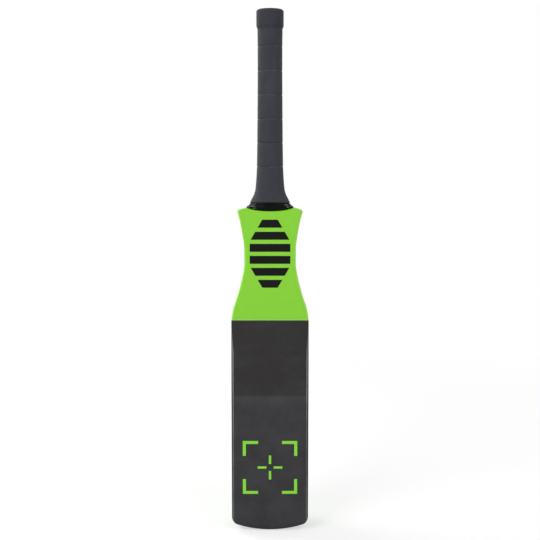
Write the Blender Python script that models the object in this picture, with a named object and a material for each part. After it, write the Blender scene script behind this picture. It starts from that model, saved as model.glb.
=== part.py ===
"""A cricket fielding bat: a spliced wooden blade with a thick foam pad on its face.

Metres. +Z runs up the handle, the padded face looks towards -Y and the spine
towards +Y. The toe of the blade is at Z = 0.
"""
import bisect
import math

import bpy
import bmesh
from mathutils import Vector

# Heights above the toe
SHOULDER_TOP = 0.4466
SHOULDER_BLEND = 0.4250
WEDGE_TIP = 0.3330
PAD_TOP = 0.2925
PAD_FULL = 0.1920
GRIP_FOOT = 0.4520
BINDING_FOOT = 0.4560
BINDING_HEAD = 0.6978
GRIP_HEAD = 0.7098
CANE_END = 0.7088
OVERALL_LENGTH = 0.7124

# Blade: (height, value) stations, joined by smooth curves
HALF_WIDTH = ((0.000, 0.0540), (0.200, 0.0540), (0.290, 0.0536), (0.305, 0.0515), (0.323, 0.0457),
              (0.350, 0.0386), (0.370, 0.0356), (0.390, 0.0357), (0.417, 0.0393), (0.447, 0.0453))
EDGE_BACK = ((0.000, 0.0046), (0.070, 0.0150), (0.155, 0.0209), (0.305, 0.0169), (0.380, 0.0134),
             (0.447, 0.0116))
SPINE = ((0.000, 0.0230), (0.024, 0.0282), (0.078, 0.0369), (0.118, 0.0419), (0.152, 0.0434),
         (0.213, 0.0409), (0.322, 0.0341), (0.447, 0.0283))
FACE_AT_TOE = -0.0159
FACE_LEAN = math.radians(1.15)
FACE_LEAN_ABOVE = math.radians(0.20)
FACE_KNEE = 0.330
FACE_KNEE_HALF = 0.025
FACE_EDGE_RADIUS = 0.0032
BACK_EDGE_RADIUS = 0.0026
BLADE_RUNS = ((0.012, 0.270, 13), (0.284, 0.320, 6), (0.330, 0.425, 9))
RIM_POWER = 4

# Toe
TOE_RADIUS = 0.155
TOE_CORNER = 0.0085
TOE_EDGE = 0.0032
TOE_BLEND = 0.070

# Shoulders and the saddle that the neck sits on
SHOULDER_CORNER = 0.0018
SHOULDER_EDGE = 0.0015
NECK_HALF_WIDTH = 0.0334
SADDLE_DIP = 0.0046
SADDLE_POWER = 2.6
SADDLE_BACK_FALL = 0.0054
SHOULDER_FALL = 0.24
SOCKET_HEADROOM = 0.0100

# Pad
PAD_THICKNESS = 0.0264
PAD_TOP_THICKNESS = 0.0012
PAD_KNEE_HALF = 0.010
PAD_SIDE_INSET = 0.0006
PAD_EDGE_RADIUS = 0.0060
PAD_EDGE_SHARE = 0.5
PAD_TOE_RADIUS = 0.0070
PAD_HEIGHTS = (0.018, 0.040, 0.070, 0.110, 0.150, 0.182, 0.188, 0.194, 0.202, 0.225, 0.250, 0.275, PAD_TOP)
GLUE_THICKNESS = 0.0004
GLUE_INSET = 0.0040
GLUE_HEIGHTS = (0.025, 0.070, 0.180, PAD_TOP - 2 * GLUE_INSET)

# Handle
HANDLE_FOOT_Y = 0.0087
HANDLE_HEAD_Y = 0.0046
CANE_HALF_X = ((0.430, 0.0235), (0.452, 0.0235), (0.460, 0.0200), (0.471, 0.0166), (0.4845, 0.0154),
               (0.505, 0.0144), (0.579, 0.0135), (0.647, 0.01305), (0.709, 0.0134))
CANE_HALF_Y = ((0.430, 0.0150), (0.452, 0.0158), (0.4845, 0.0154), (0.505, 0.0144), (0.579, 0.0135),
               (0.647, 0.01305), (0.709, 0.0134))
CANE_SEAT = 0.4460
WEDGE_HEAD = 0.4354
WEDGE_SHAPE = ((0.0, 9.0), (0.5, 9.0), (0.85, 7.0), (1.0, 3.0))
WEDGE_HALF_TOP = 0.0215
WEDGE_HALF_TIP = 0.0030
WEDGE_FRONT = 0.0115
WEDGE_BACK = 0.0085
CORE_HALF = 0.0045
SPRING_THICKNESS = 0.0016
SLICE_MARGIN = 0.0200
SLICE_HALF_WIDTH = 0.0400
SLICE_REACH = 0.0300
BINDING_THICKNESS = 0.0008

# Grip
GRIP_HALF_X = ((0.450, 0.0290), (0.4575, 0.0256), (0.4642, 0.0222), (0.471, 0.0203), (0.4845, 0.0190),
               (0.505, 0.0180), (0.579, 0.0171), (0.647, 0.0167), (0.692, 0.0170))
GRIP_HALF_Y = ((0.450, 0.0210), (0.464, 0.0201), (0.478, 0.0191), (0.505, 0.0180), (0.579, 0.0171),
               (0.647, 0.0167), (0.692, 0.0170))
GRIP_FOOT_SLANT = 0.10
GRIP_FOOT_ROUND = 0.0012
GROOVES = 7
GROOVES_ON_TAPER = 3
FIRST_GROOVE = 0.4703
GROOVE_PITCH = 0.0322
GROOVE_DEPTH = 0.0008
GROOVE_HALF = 0.0012
COLLAR_FOOT = 0.6879
COLLAR_RADIUS = 0.0185
COLLAR_ROUND = 0.0035
COLLAR_MOUTH = 0.0120
COLLAR_EASE = 0.0008

# Neck band
BAND_HALF_Y_FOOT = 0.0189
BAND_CENTRE_FOOT = 0.0100
BAND_HALF_X_HEAD = 0.0283
BAND_HALF_Y_HEAD = 0.0206
BAND_CENTRE_HEAD = 0.0091
BAND_SHARES = (0.0, 0.35, 0.70, 0.92)
BAND_EASE = 0.0006

GAP = 0.0003
MERGE_DISTANCE = 0.00001
SHARP_ANGLE = math.radians(35)
ROUND_STEPS = 3
COLUMNS = 5
EDGE_ROWS = 3
HANDLE_SIDES = 28


def on_curve(stations, height):
    """Value at a height on the smooth curve through rising (height, value) stations."""
    heights = [station[0] for station in stations]
    values = [station[1] for station in stations]
    if height <= heights[0]:
        return values[0]
    if height >= heights[-1]:
        return values[-1]

    def slope(index):
        return (values[index + 1] - values[index]) / (heights[index + 1] - heights[index])

    def tangent(index):
        if index == 0:
            return slope(0)
        if index == len(values) - 1:
            return slope(index - 1)
        below, above = slope(index - 1), slope(index)
        return 2 * below * above / (below + above) if below * above > 0 else 0.0

    low = bisect.bisect_right(heights, height) - 1
    span = heights[low + 1] - heights[low]
    t = (height - heights[low]) / span
    rise = values[low + 1] - values[low]
    start, end = tangent(low) * span, tangent(low + 1) * span
    return values[low] + start * t + (3 * rise - 2 * start - end) * t ** 2 + (start + end - 2 * rise) * t ** 3


def soft_knee(distance, slope_before, slope_after, half_length):
    """Height of two straight runs that meet at distance 0 through a parabola."""
    if distance <= -half_length:
        return slope_before * distance
    if distance >= half_length:
        return slope_after * distance
    bend = (slope_after - slope_before) / (4 * half_length)
    return slope_before * distance + bend * (distance + half_length) ** 2


def clamp(value):
    """The value held between 0 and 1."""
    return min(max(value, 0.0), 1.0)


def mix(start, end, share):
    """The value a share of the way from start to end."""
    return start + (end - start) * share


def face_y(height):
    """The face of the blade: a long straight run with a slight bow below the shoulders."""
    knee_y = FACE_AT_TOE + math.tan(FACE_LEAN) * FACE_KNEE
    lean, lean_above = math.tan(FACE_LEAN), math.tan(FACE_LEAN_ABOVE)
    return knee_y + soft_knee(height - FACE_KNEE, lean, lean_above, FACE_KNEE_HALF)


def roof_y(x, height):
    """The two flat back planes, which fall from the spine to the edges."""
    spine = on_curve(SPINE, height)
    edge = on_curve(EDGE_BACK, height)
    return spine - (spine - edge) * abs(x) / on_curve(HALF_WIDTH, height)


def pad_thickness(height):
    """Foam thickness: full over the toe half, then a straight ramp to a thin top edge."""
    ramp = (PAD_THICKNESS - PAD_TOP_THICKNESS) / (PAD_TOP - PAD_FULL)
    return PAD_THICKNESS + soft_knee(height - PAD_FULL, 0.0, -ramp, PAD_KNEE_HALF)


def shoulder_z(x, y):
    """Top of the blade: shoulders that fall outwards and back, saddled under the neck."""
    beyond = max(abs(x) - NECK_HALF_WIDTH, 0.0)
    within = 1 - min(abs(x) / NECK_HALF_WIDTH, 1.0) ** SADDLE_POWER
    face, spine = face_y(SHOULDER_TOP), on_curve(SPINE, SHOULDER_TOP)
    depth = clamp((y - face) / (spine - face))
    return SHOULDER_TOP - SADDLE_DIP * within - SHOULDER_FALL * beyond - SADDLE_BACK_FALL * depth


def toe_rise(x):
    """How far the toe's arc has risen at this distance from its middle."""
    return TOE_RADIUS - math.sqrt(TOE_RADIUS ** 2 - x ** 2)


def handle_y(height):
    """The handle's centre line, which leans towards the face on its way up."""
    return mix(HANDLE_FOOT_Y, HANDLE_HEAD_Y, (height - GRIP_FOOT) / (OVERALL_LENGTH - GRIP_FOOT))


def foot_slant(y, height):
    """How far the grip's lower rim drops towards the back, fading out above the rim."""
    fade = clamp(1 - (height - GRIP_FOOT) / (FIRST_GROOVE - GRIP_FOOT - GROOVE_HALF))
    return GRIP_FOOT_SLANT * (y - handle_y(height)) * fade


def corner(start, apex, end):
    """Points on the rounded corner from start to end, both included."""
    points = []
    for step in range(ROUND_STEPS + 1):
        t = step / ROUND_STEPS
        points.append((mix(mix(start[0], apex[0], t), mix(apex[0], end[0], t), t),
                       mix(mix(start[1], apex[1], t), mix(apex[1], end[1], t), t)))
    return points


class Section:
    """One cross-section of a slab: a front row and a back row, each from left to right."""

    def __init__(self, half_width, front, back, front_radius, back_radius, height_at):
        """front and back give y at x; height_at gives the height of a point at (x, y, share of depth)."""
        self.front = self.row(half_width, front, front_radius, 1)
        self.back = self.row(half_width, back, back_radius, -1)
        depth_front = [Vector((x, y, height_at(x, y, 0.0))) for x, y in self.front]
        depth_back = [Vector((x, y, height_at(x, y, 1.0))) for x, y in self.back]
        self.front, self.back = depth_front, depth_back

    @staticmethod
    def row(half_width, line, radius, inward):
        """Left corner, straight columns and right corner of one side, as (x, y)."""
        inner = half_width - radius
        rim = (half_width, line(half_width) + inward * radius)
        right = corner((inner, line(inner)), (half_width, line(half_width)), rim)
        places = [inner * step / COLUMNS for step in range(-COLUMNS, COLUMNS + 1)]
        columns = [(x, line(x)) for x in places]
        left = [(-x, y) for x, y in reversed(right)]
        return left[:-1] + columns + right[1:]

    def across(self, index):
        """Points from the front row to the back row at one column."""
        shares = [row / (EDGE_ROWS + 1) for row in range(EDGE_ROWS + 2)]
        return [self.front[index].lerp(self.back[index], share) for share in shares]

    def ring(self):
        """The closed outline: front, right edge, back and left edge."""
        right = self.across(-1)[1:-1]
        left = self.across(0)[1:-1]
        return self.front + right + self.back[::-1] + left[::-1]


def new_object(name, mesh_maker, material):
    """An object with the mesh that mesh_maker fills, one material and outward faces."""
    mesh = bpy.data.meshes.new(name)
    bm = bmesh.new()
    mesh_maker(bm)
    bmesh.ops.remove_doubles(bm, verts=bm.verts, dist=MERGE_DISTANCE)
    bmesh.ops.recalc_face_normals(bm, faces=bm.faces)
    bm.to_mesh(mesh)
    bm.free()
    mesh.shade_smooth()
    mesh.set_sharp_from_angle(angle=SHARP_ANGLE)
    piece = bpy.data.objects.new(name, mesh)
    bpy.context.collection.objects.link(piece)
    if material:
        mesh.materials.append(material)
    return piece


def join_rings(bm, lower, upper):
    """Quads between two rings of vertices."""
    count = len(lower)
    for index in range(count):
        after = (index + 1) % count
        bm.faces.new((lower[index], lower[after], upper[after], upper[index]))


def slab(sections, foot_height=None, head_height=None):
    """A mesh maker that lofts the sections and closes both ends with cross rows."""
    def make(bm):
        rings = [[bm.verts.new(point) for point in section.ring()] for section in sections]
        for lower, upper in zip(rings, rings[1:]):
            join_rings(bm, lower, upper)
        close_end(bm, sections[0], rings[0], foot_height)
        close_end(bm, sections[-1], rings[-1], head_height)
    return make


def close_end(bm, section, ring, height):
    """Close one end of a slab with a grid between its front and back rows."""
    width = len(section.front)
    columns = []
    for index in range(width):
        points = section.across(index)
        column = [ring[index]]
        for row, point in enumerate(points[1:-1]):
            if index == 0:
                column.append(ring[len(ring) - 1 - row])
            elif index == width - 1:
                column.append(ring[width + row])
            else:
                z = height(point.x, point.y) if height else point.z
                column.append(bm.verts.new((point.x, point.y, z)))
        column.append(ring[width + EDGE_ROWS + width - 1 - index])
        columns.append(column)
    for left, right in zip(columns, columns[1:]):
        for row in range(len(left) - 1):
            bm.faces.new((left[row], left[row + 1], right[row + 1], right[row]))


def oval(half_x, half_y, centre_y, height, sides, squareness=2.0):
    """A ring of points round an oval; height is a number or a function of (x, y)."""
    points = []
    for step in range(sides):
        angle = 2 * math.pi * step / sides
        cos, sin = math.cos(angle), math.sin(angle)
        x = half_x * math.copysign(abs(cos) ** (2 / squareness), cos)
        y = centre_y + half_y * math.copysign(abs(sin) ** (2 / squareness), sin)
        points.append(Vector((x, y, height(x, y) if callable(height) else height)))
    return points


def rod(rings):
    """A mesh maker for a solid bar through the rings."""
    def make(bm):
        loops = [[bm.verts.new(point) for point in ring] for ring in rings]
        for lower, upper in zip(loops, loops[1:]):
            join_rings(bm, lower, upper)
        bm.faces.new(loops[0])
        bm.faces.new(loops[-1])
    return make


def tube(outer, inner):
    """A mesh maker for a sleeve: outer rings going up, then inner rings going down."""
    def make(bm):
        loops = [[bm.verts.new(point) for point in ring] for ring in outer + inner]
        for lower, upper in zip(loops, loops[1:] + loops[:1]):
            join_rings(bm, lower, upper)
    return make


def paint(name, red, green, blue, roughness, metallic=0.0):
    """A Principled material from an sRGB colour of 0 to 255."""
    material = bpy.data.materials.new(name)
    material.use_nodes = True
    shader = material.node_tree.nodes["Principled BSDF"]
    linear = [((value / 255 + 0.055) / 1.055) ** 2.4 for value in (red, green, blue)]
    shader.inputs["Base Color"].default_value = (*linear, 1.0)
    shader.inputs["Roughness"].default_value = roughness
    shader.inputs["Metallic"].default_value = metallic
    return material


def cut(piece, cutter, operation):
    """Apply a cutter to a piece and hide the cutter from the model."""
    cutter.hide_render = True
    cutter.display_type = "WIRE"
    modifier = piece.modifiers.new(operation.title(), "BOOLEAN")
    modifier.operation = operation
    modifier.solver = "EXACT"
    modifier.object = cutter


def end_round(step):
    """Inset and rise shares of one step on the rounded rim of an end."""
    angle = math.pi / 2 * step / ROUND_STEPS
    return 1 - math.sin(angle), 1 - math.cos(angle)


def blade_section(height, inset=0.0, rise=0.0, corner_radius=0.0, edge_radius=0.0, upwards=1):
    """A section of the blade, drawn in by a share of its rim radii where an end is rounded."""
    half = on_curve(HALF_WIDTH, height) - corner_radius * inset
    shrink = edge_radius * inset
    toe_share = clamp(1 - height / TOE_BLEND)
    head_share = clamp((height - SHOULDER_BLEND) / (SHOULDER_TOP - SHOULDER_BLEND))

    def height_at(x, y, _depth):
        side = (abs(x) / half) ** RIM_POWER
        lift = rise * mix(edge_radius, corner_radius, side) * upwards
        return height + toe_rise(x) * toe_share - (SHOULDER_TOP - shoulder_z(x, y)) * head_share + lift

    def front(x):
        return face_y(height + toe_rise(x) * toe_share) + shrink

    def back(x):
        return roof_y(x, height + toe_rise(x) * toe_share) - shrink

    front_radius = max(FACE_EDGE_RADIUS - shrink, GAP)
    back_radius = max(BACK_EDGE_RADIUS - shrink, GAP)
    return Section(half, front, back, front_radius, back_radius, height_at)


def blade_heights():
    """Section heights, closer together where the blade narrows to its waist."""
    heights = []
    for low, high, count in BLADE_RUNS:
        heights += [mix(low, high, step / (count - 1)) for step in range(count)]
    return heights


def make_blade(material):
    """The wooden blade, with the socket for the handle's splice wedge."""
    sections = []
    for step in range(ROUND_STEPS + 1):
        inset, rise = end_round(step)
        sections.append(blade_section(0.0, inset, rise, TOE_CORNER, TOE_EDGE))
    sections += [blade_section(height) for height in blade_heights()]
    for step in reversed(range(ROUND_STEPS + 1)):
        inset, rise = end_round(step)
        sections.append(blade_section(SHOULDER_TOP, inset, rise, SHOULDER_CORNER, SHOULDER_EDGE, upwards=-1))
    blade = new_object("blade", slab(sections, None, shoulder_z), material)
    socket = new_object("splice_socket", rod(wedge_rings(GAP, SHOULDER_TOP + SOCKET_HEADROOM)), None)
    cut(blade, socket, "DIFFERENCE")
    return blade


def wedge_rings(clearance, top):
    """Rings of the splice wedge from its tip up; top is a height or a function of (x, y)."""
    rings = []
    for share, squareness in WEDGE_SHAPE:
        height = mix(WEDGE_TIP, WEDGE_HEAD, share)
        half_x = mix(WEDGE_HALF_TIP, WEDGE_HALF_TOP, share) + clearance
        half_y = (WEDGE_FRONT + WEDGE_BACK) / 2 + clearance
        centre = handle_y(height) + (WEDGE_BACK - WEDGE_FRONT) / 2
        level = height - clearance if share == 0.0 else height
        rings.append(oval(half_x, half_y, centre, level, HANDLE_SIDES, squareness))
    rings.append(oval(half_x, half_y, centre, top, HANDLE_SIDES, squareness))
    return rings


def cane_oval(height, growth, sides, level=None):
    """A ring round the cane, grown outwards, at its own height or at another level."""
    half_x = on_curve(CANE_HALF_X, height) + growth
    half_y = on_curve(CANE_HALF_Y, height) + growth
    return oval(half_x, half_y, handle_y(height), level or height, sides)


def cane_heights(low, high):
    """Ring heights along the cane: its flare, then its long taper."""
    inner = [height for height, _ in CANE_HALF_X if low < height < high]
    return [low] + inner + [high]


def handle_blank(name, material):
    """The whole handle before it is parted into laminations: shaft, seat and wedge."""
    def seat(x, y):
        return shoulder_z(x, y) + GAP

    rings = wedge_rings(0.0, seat)
    rings.append(cane_oval(CANE_SEAT, 0.0, HANDLE_SIDES, seat))
    rings += [cane_oval(height, 0.0, HANDLE_SIDES) for height in cane_heights(GRIP_FOOT, CANE_END)]
    return new_object(name, rod(rings), material)


def lamination(name, near, far, material):
    """One layer of the handle between two planes that lean with it."""
    piece = handle_blank(name, material)
    half = SLICE_HALF_WIDTH
    rings = []
    for height in (WEDGE_TIP - SLICE_MARGIN, CANE_END + SLICE_MARGIN):
        middle = handle_y(height)
        rings.append([Vector((-half, middle + near, height)), Vector((half, middle + near, height)),
                      Vector((half, middle + far, height)), Vector((-half, middle + far, height))])
    slice_block = new_object(name + "_slice", rod(rings), None)
    cut(piece, slice_block, "INTERSECT")
    return piece


def make_handle(cane, rubber):
    """Three cane laminations with two rubber springs between them."""
    spring_near = CORE_HALF + GAP
    spring_far = spring_near + SPRING_THICKNESS
    outer_near = spring_far + GAP
    return [
        lamination("cane_core", -CORE_HALF, CORE_HALF, cane),
        lamination("spring_face", -spring_far, -spring_near, rubber),
        lamination("spring_back", spring_near, spring_far, rubber),
        lamination("cane_face", -SLICE_REACH, -outer_near, cane),
        lamination("cane_back", outer_near, SLICE_REACH, cane),
    ]


def make_binding(material):
    """The layer of twine wound round the cane under the grip."""
    heights = cane_heights(BINDING_FOOT, BINDING_HEAD)
    outer = [cane_oval(height, GAP + BINDING_THICKNESS, HANDLE_SIDES) for height in heights]
    inner = [cane_oval(height, GAP, HANDLE_SIDES) for height in reversed(heights)]
    return new_object("twine_binding", tube(outer, inner), material)


def grip_oval(height, depth=0.0):
    """A ring round the grip's outside, sunk by depth, with the slanted lower rim."""
    def level(_x, y):
        return height - foot_slant(y, height)

    half_x = on_curve(GRIP_HALF_X, height) - depth
    half_y = on_curve(GRIP_HALF_Y, height) - depth
    return oval(half_x, half_y, handle_y(height), level, HANDLE_SIDES)


def grip_stations():
    """(height, depth) down the grip's outside, with its ring grooves."""
    stations = []
    for step in range(ROUND_STEPS + 1):
        inset, rise = end_round(step)
        stations.append((GRIP_FOOT + GRIP_FOOT_ROUND * rise, GRIP_FOOT_ROUND * inset))
    flare = (stations[-1][0], FIRST_GROOVE - GROOVE_HALF)
    stations += [(height, 0.0) for height, _ in GRIP_HALF_X if flare[0] < height < flare[1]]
    for index in range(GROOVES):
        middle = FIRST_GROOVE + GROOVE_PITCH * index
        stations += [(middle - GROOVE_HALF, 0.0), (middle - GROOVE_HALF / 2, GROOVE_DEPTH),
                     (middle + GROOVE_HALF / 2, GROOVE_DEPTH), (middle + GROOVE_HALF, 0.0)]
        if index < GROOVES_ON_TAPER:
            stations.append((middle + GROOVE_PITCH / 2, 0.0))
    stations.append((GRIP_HEAD - GAP, 0.0))
    return stations


def make_grip(material):
    """The rubber sleeve of the grip."""
    outer = [grip_oval(height, depth) for height, depth in grip_stations()]
    clearance = 2 * GAP + BINDING_THICKNESS
    heights = cane_heights(BINDING_FOOT, GRIP_HEAD - GAP)
    inner = [cane_oval(height, clearance, HANDLE_SIDES) for height in reversed(heights)]

    def rim(_x, y):
        return GRIP_FOOT - foot_slant(y, GRIP_FOOT)

    inner.append(cane_oval(GRIP_FOOT, clearance, HANDLE_SIDES, rim))
    return new_object("grip_sleeve", tube(outer, inner), material)


def make_collar(material):
    """The thick band over the upper end of the grip, open over the cane's end."""
    bore = on_curve(GRIP_HALF_X, OVERALL_LENGTH) + GAP
    outside = [(bore, COLLAR_FOOT), (COLLAR_RADIUS - COLLAR_EASE, COLLAR_FOOT),
               (COLLAR_RADIUS, COLLAR_FOOT + COLLAR_EASE)]
    for step in reversed(range(ROUND_STEPS + 1)):
        inset, rise = end_round(step)
        outside.append((COLLAR_RADIUS - COLLAR_ROUND * inset, OVERALL_LENGTH - COLLAR_ROUND * rise))
    outside += [(COLLAR_MOUTH + COLLAR_EASE, OVERALL_LENGTH), (COLLAR_MOUTH, OVERALL_LENGTH - COLLAR_EASE)]
    inside = [(COLLAR_MOUTH, GRIP_HEAD + GAP), (bore, GRIP_HEAD + GAP)]
    profile = outside + inside
    rings = [oval(radius, radius, handle_y(height), height, HANDLE_SIDES) for radius, height in profile]
    return new_object("grip_collar", tube(rings, []), material)


def make_band(material):
    """The gloss band round the neck, from the grip's rim down to the saddle of the blade."""
    def ring(share, growth=0.0, bore=False):
        half_x = mix(NECK_HALF_WIDTH, BAND_HALF_X_HEAD, share) - growth
        half_y = mix(BAND_HALF_Y_FOOT, BAND_HALF_Y_HEAD, share) - growth
        centre = mix(BAND_CENTRE_FOOT, BAND_CENTRE_HEAD, share)
        if bore:
            half_x = on_curve(CANE_HALF_X, SHOULDER_TOP) + GAP
            half_y = on_curve(CANE_HALF_Y, GRIP_FOOT) + GAP
            centre = handle_y(GRIP_FOOT)

        def level(x, y):
            head = GRIP_FOOT - foot_slant(y, GRIP_FOOT) - GAP
            return mix(shoulder_z(x, y) + GAP, head, share)

        return oval(half_x, half_y, centre, level, HANDLE_SIDES)

    outer = [ring(share) for share in BAND_SHARES] + [ring(1.0, growth=BAND_EASE)]
    inner = [ring(1.0, bore=True), ring(0.5, bore=True), ring(0.0, bore=True)]
    return new_object("shoulder_band", tube(outer, inner), material)


def pad_section(height, inset=0.0, rise=0.0, trim=0.0, thickness=None, stand_off=0.0, rounded=True):
    """A section of the pad or of the glue under it, drawn in where the toe end is rounded."""
    half = on_curve(HALF_WIDTH, height) - PAD_SIDE_INSET - trim - TOE_CORNER * inset
    toe_share = clamp(1 - height / TOE_BLEND)
    front_radius = min(PAD_EDGE_RADIUS, PAD_EDGE_SHARE * pad_thickness(height)) if rounded else GAP / 2
    front_shrink = PAD_TOE_RADIUS * inset if rounded else 0.0

    def level(x):
        return height + toe_rise(x) * toe_share

    def height_at(x, _y, depth):
        side = (abs(x) / half) ** RIM_POWER
        edge_radius = mix(PAD_TOE_RADIUS, 0.0, depth) if rounded else 0.0
        return level(x) + rise * mix(edge_radius, TOE_CORNER, side) + trim

    def front(x):
        depth = thickness if thickness else pad_thickness(level(x))
        return face_y(level(x)) - stand_off - depth + front_shrink

    def back(x):
        return face_y(level(x)) - stand_off

    return Section(half, front, back, max(front_radius - front_shrink, GAP / 2), GAP / 2, height_at)


def make_pad(material):
    """The foam pad: a thick slab over the toe half that ramps away below the waist."""
    stand_off = 2 * GAP + GLUE_THICKNESS
    sections = []
    for step in range(ROUND_STEPS + 1):
        inset, rise = end_round(step)
        sections.append(pad_section(0.0, inset, rise, stand_off=stand_off))
    sections += [pad_section(height, stand_off=stand_off) for height in PAD_HEIGHTS]
    return new_object("pad_foam", slab(sections), material)


def make_glue(material):
    """The bonding sheet between the foam and the blade."""
    sections = []
    for step in range(ROUND_STEPS + 1):
        inset, rise = end_round(step)
        sections.append(pad_section(0.0, inset, rise, GLUE_INSET, GLUE_THICKNESS, GAP, rounded=False))
    for height in GLUE_HEIGHTS:
        sections.append(pad_section(height, 0.0, 0.0, GLUE_INSET, GLUE_THICKNESS, GAP, rounded=False))
    return new_object("pad_adhesive", slab(sections), material)


def build():
    """Model the bat and hang every piece on one empty."""
    for old in list(bpy.data.objects):
        bpy.data.objects.remove(old, do_unlink=True)
    green = paint("green_gloss_paint", 122, 200, 52, 0.25)
    black_gloss = paint("black_gloss", 14, 14, 15, 0.15)
    grip_rubber = paint("black_grip_rubber", 46, 47, 50, 0.65)
    foam = paint("dark_grey_foam", 60, 60, 62, 0.75)
    cane = paint("cane", 201, 168, 112, 0.6)
    spring_rubber = paint("spring_rubber", 40, 38, 38, 0.7)
    twine = paint("twine", 214, 196, 160, 0.8)
    glue = paint("adhesive", 225, 222, 206, 0.5)
    pieces = [
        make_blade(green),
        make_band(black_gloss),
        make_grip(grip_rubber),
        make_collar(grip_rubber),
        make_binding(twine),
        make_pad(foam),
        make_glue(glue),
    ]
    pieces += make_handle(cane, spring_rubber)
    bat = bpy.data.objects.new("bat", None)
    bpy.context.collection.objects.link(bat)
    for piece in pieces:
        piece.parent = bat


build()
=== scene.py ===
"""The looks of a cricket fielding bat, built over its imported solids.

Metres, in the frame of the solids: +Z runs up the handle, the padded face looks
towards -Y, the spine towards +Y, and the toe of the blade is at Z = 0.
"""
import bisect
import functools
import logging
import math
from collections.abc import Callable, Sequence
from dataclasses import dataclass
from enum import Enum

import bmesh
import bpy
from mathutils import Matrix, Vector


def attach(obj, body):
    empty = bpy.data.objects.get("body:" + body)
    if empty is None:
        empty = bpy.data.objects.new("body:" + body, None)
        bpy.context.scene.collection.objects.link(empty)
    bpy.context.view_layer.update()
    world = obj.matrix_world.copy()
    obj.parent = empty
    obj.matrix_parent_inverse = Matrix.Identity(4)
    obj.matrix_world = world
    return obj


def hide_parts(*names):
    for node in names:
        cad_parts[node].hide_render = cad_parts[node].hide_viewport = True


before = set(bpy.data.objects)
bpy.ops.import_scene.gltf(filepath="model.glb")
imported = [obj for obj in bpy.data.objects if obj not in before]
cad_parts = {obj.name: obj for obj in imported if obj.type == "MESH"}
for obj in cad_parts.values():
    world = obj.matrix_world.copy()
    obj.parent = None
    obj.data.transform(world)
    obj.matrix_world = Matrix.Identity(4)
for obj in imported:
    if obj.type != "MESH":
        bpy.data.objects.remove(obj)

log = logging.getLogger("fielding_bat")

BODY = "root"
GAP = 0.0003

Colour = tuple[float, float, float, float]
Scale = tuple[float, float, float]
Span = tuple[float, float]
Ring = list[Vector]
Grid = list[list[tuple[float, float]]]
Line = Callable[[float], float]
Surface = Callable[[float, float], float]
Fill = Callable[[bmesh.types.BMesh], None]
Piece = bpy.types.Object
Material = bpy.types.Material
Socket = bpy.types.NodeSocket

# Sizes that more than one piece or finish takes
PAD_TOP = 0.2908
GRIP_HEAD = 0.7098
FIRST_GROOVE = 0.4703
GROOVE_PITCH = 0.0322
GROOVES = 7
FOAM_PORES: Scale = (1150, 1150, 1150)
FOAM_PORE_SPAN: Span = (0.05, 0.42)

# Mesh settings that the pieces share
MERGE_DISTANCE = 0.000002
SPINE_CROWDING = 1.7
CORNER_POWER = 4


# Shared arithmetic


def clamp(value: float) -> float:
    """Hold a value between 0 and 1."""
    return min(max(value, 0.0), 1.0)


def mix(start: float, end: float, share: float) -> float:
    """Go a share of the way from start to end."""
    return start + (end - start) * share


def soft_knee(distance: float, before: float, after: float, half_length: float) -> float:
    """Rise of two straight runs that meet at distance 0 through a parabola.

    Args:
        distance: how far past the knee the point is.
        before: slope of the run before the knee.
        after: slope of the run after it.
        half_length: half of the length over which the slope turns.

    Returns:
        The rise at that distance.
    """
    if distance <= -half_length:
        return before * distance
    if distance >= half_length:
        return after * distance
    bend = (after - before) / (4 * half_length)
    return before * distance + bend * (distance + half_length) ** 2


def arc_step(step: int, steps: int) -> tuple[float, float]:
    """Inset and rise shares of one step round the rim of an end."""
    angle = math.pi / 2 * step / steps
    return 1 - math.sin(angle), 1 - math.cos(angle)


def srgb(red: float, green: float, blue: float) -> Colour:
    """Turn an sRGB colour of 0 to 255 into the linear one that a shader takes.

    Args:
        red: red, 0 to 255.
        green: green, 0 to 255.
        blue: blue, 0 to 255.

    Returns:
        The linear colour with full alpha.
    """
    linear = []
    for channel in (red, green, blue):
        value = channel / 255
        linear.append(value / 12.92 if value <= 0.04045 else ((value + 0.055) / 1.055) ** 2.4)
    return (linear[0], linear[1], linear[2], 1.0)


@dataclass(frozen=True)
class Curve:
    """A smooth curve through rising (height, value) stations, with no overshoot."""

    stations: tuple[tuple[float, float], ...]

    def _slope(self, index: int) -> float:
        """Slope of the straight line from one station to the next."""
        (low, start), (high, end) = self.stations[index], self.stations[index + 1]
        return (end - start) / (high - low)

    def _tangent(self, index: int) -> float:
        """Slope of the curve at a station.

        Args:
            index: which station.

        Returns:
            The harmonic mean of the slopes beside it, or 0 where they turn.
        """
        if index == 0:
            return self._slope(0)
        if index == len(self.stations) - 1:
            return self._slope(index - 1)
        below, above = self._slope(index - 1), self._slope(index)
        return 2 * below * above / (below + above) if below * above > 0 else 0.0

    def at(self, height: float) -> float:
        """Read the curve.

        Args:
            height: where to read it.

        Returns:
            The value there, held at the end stations' values beyond them.
        """
        heights = [station[0] for station in self.stations]
        if height <= heights[0]:
            return self.stations[0][1]
        if height >= heights[-1]:
            return self.stations[-1][1]
        low = bisect.bisect_right(heights, height) - 1
        span = heights[low + 1] - heights[low]
        share = (height - heights[low]) / span
        begin = self.stations[low][1]
        rise = self.stations[low + 1][1] - begin
        start, end = self._tangent(low) * span, self._tangent(low + 1) * span
        square, cube = 3 * rise - 2 * start - end, start + end - 2 * rise
        return begin + start * share + square * share ** 2 + cube * share ** 3


# Node work that the finishes share


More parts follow.
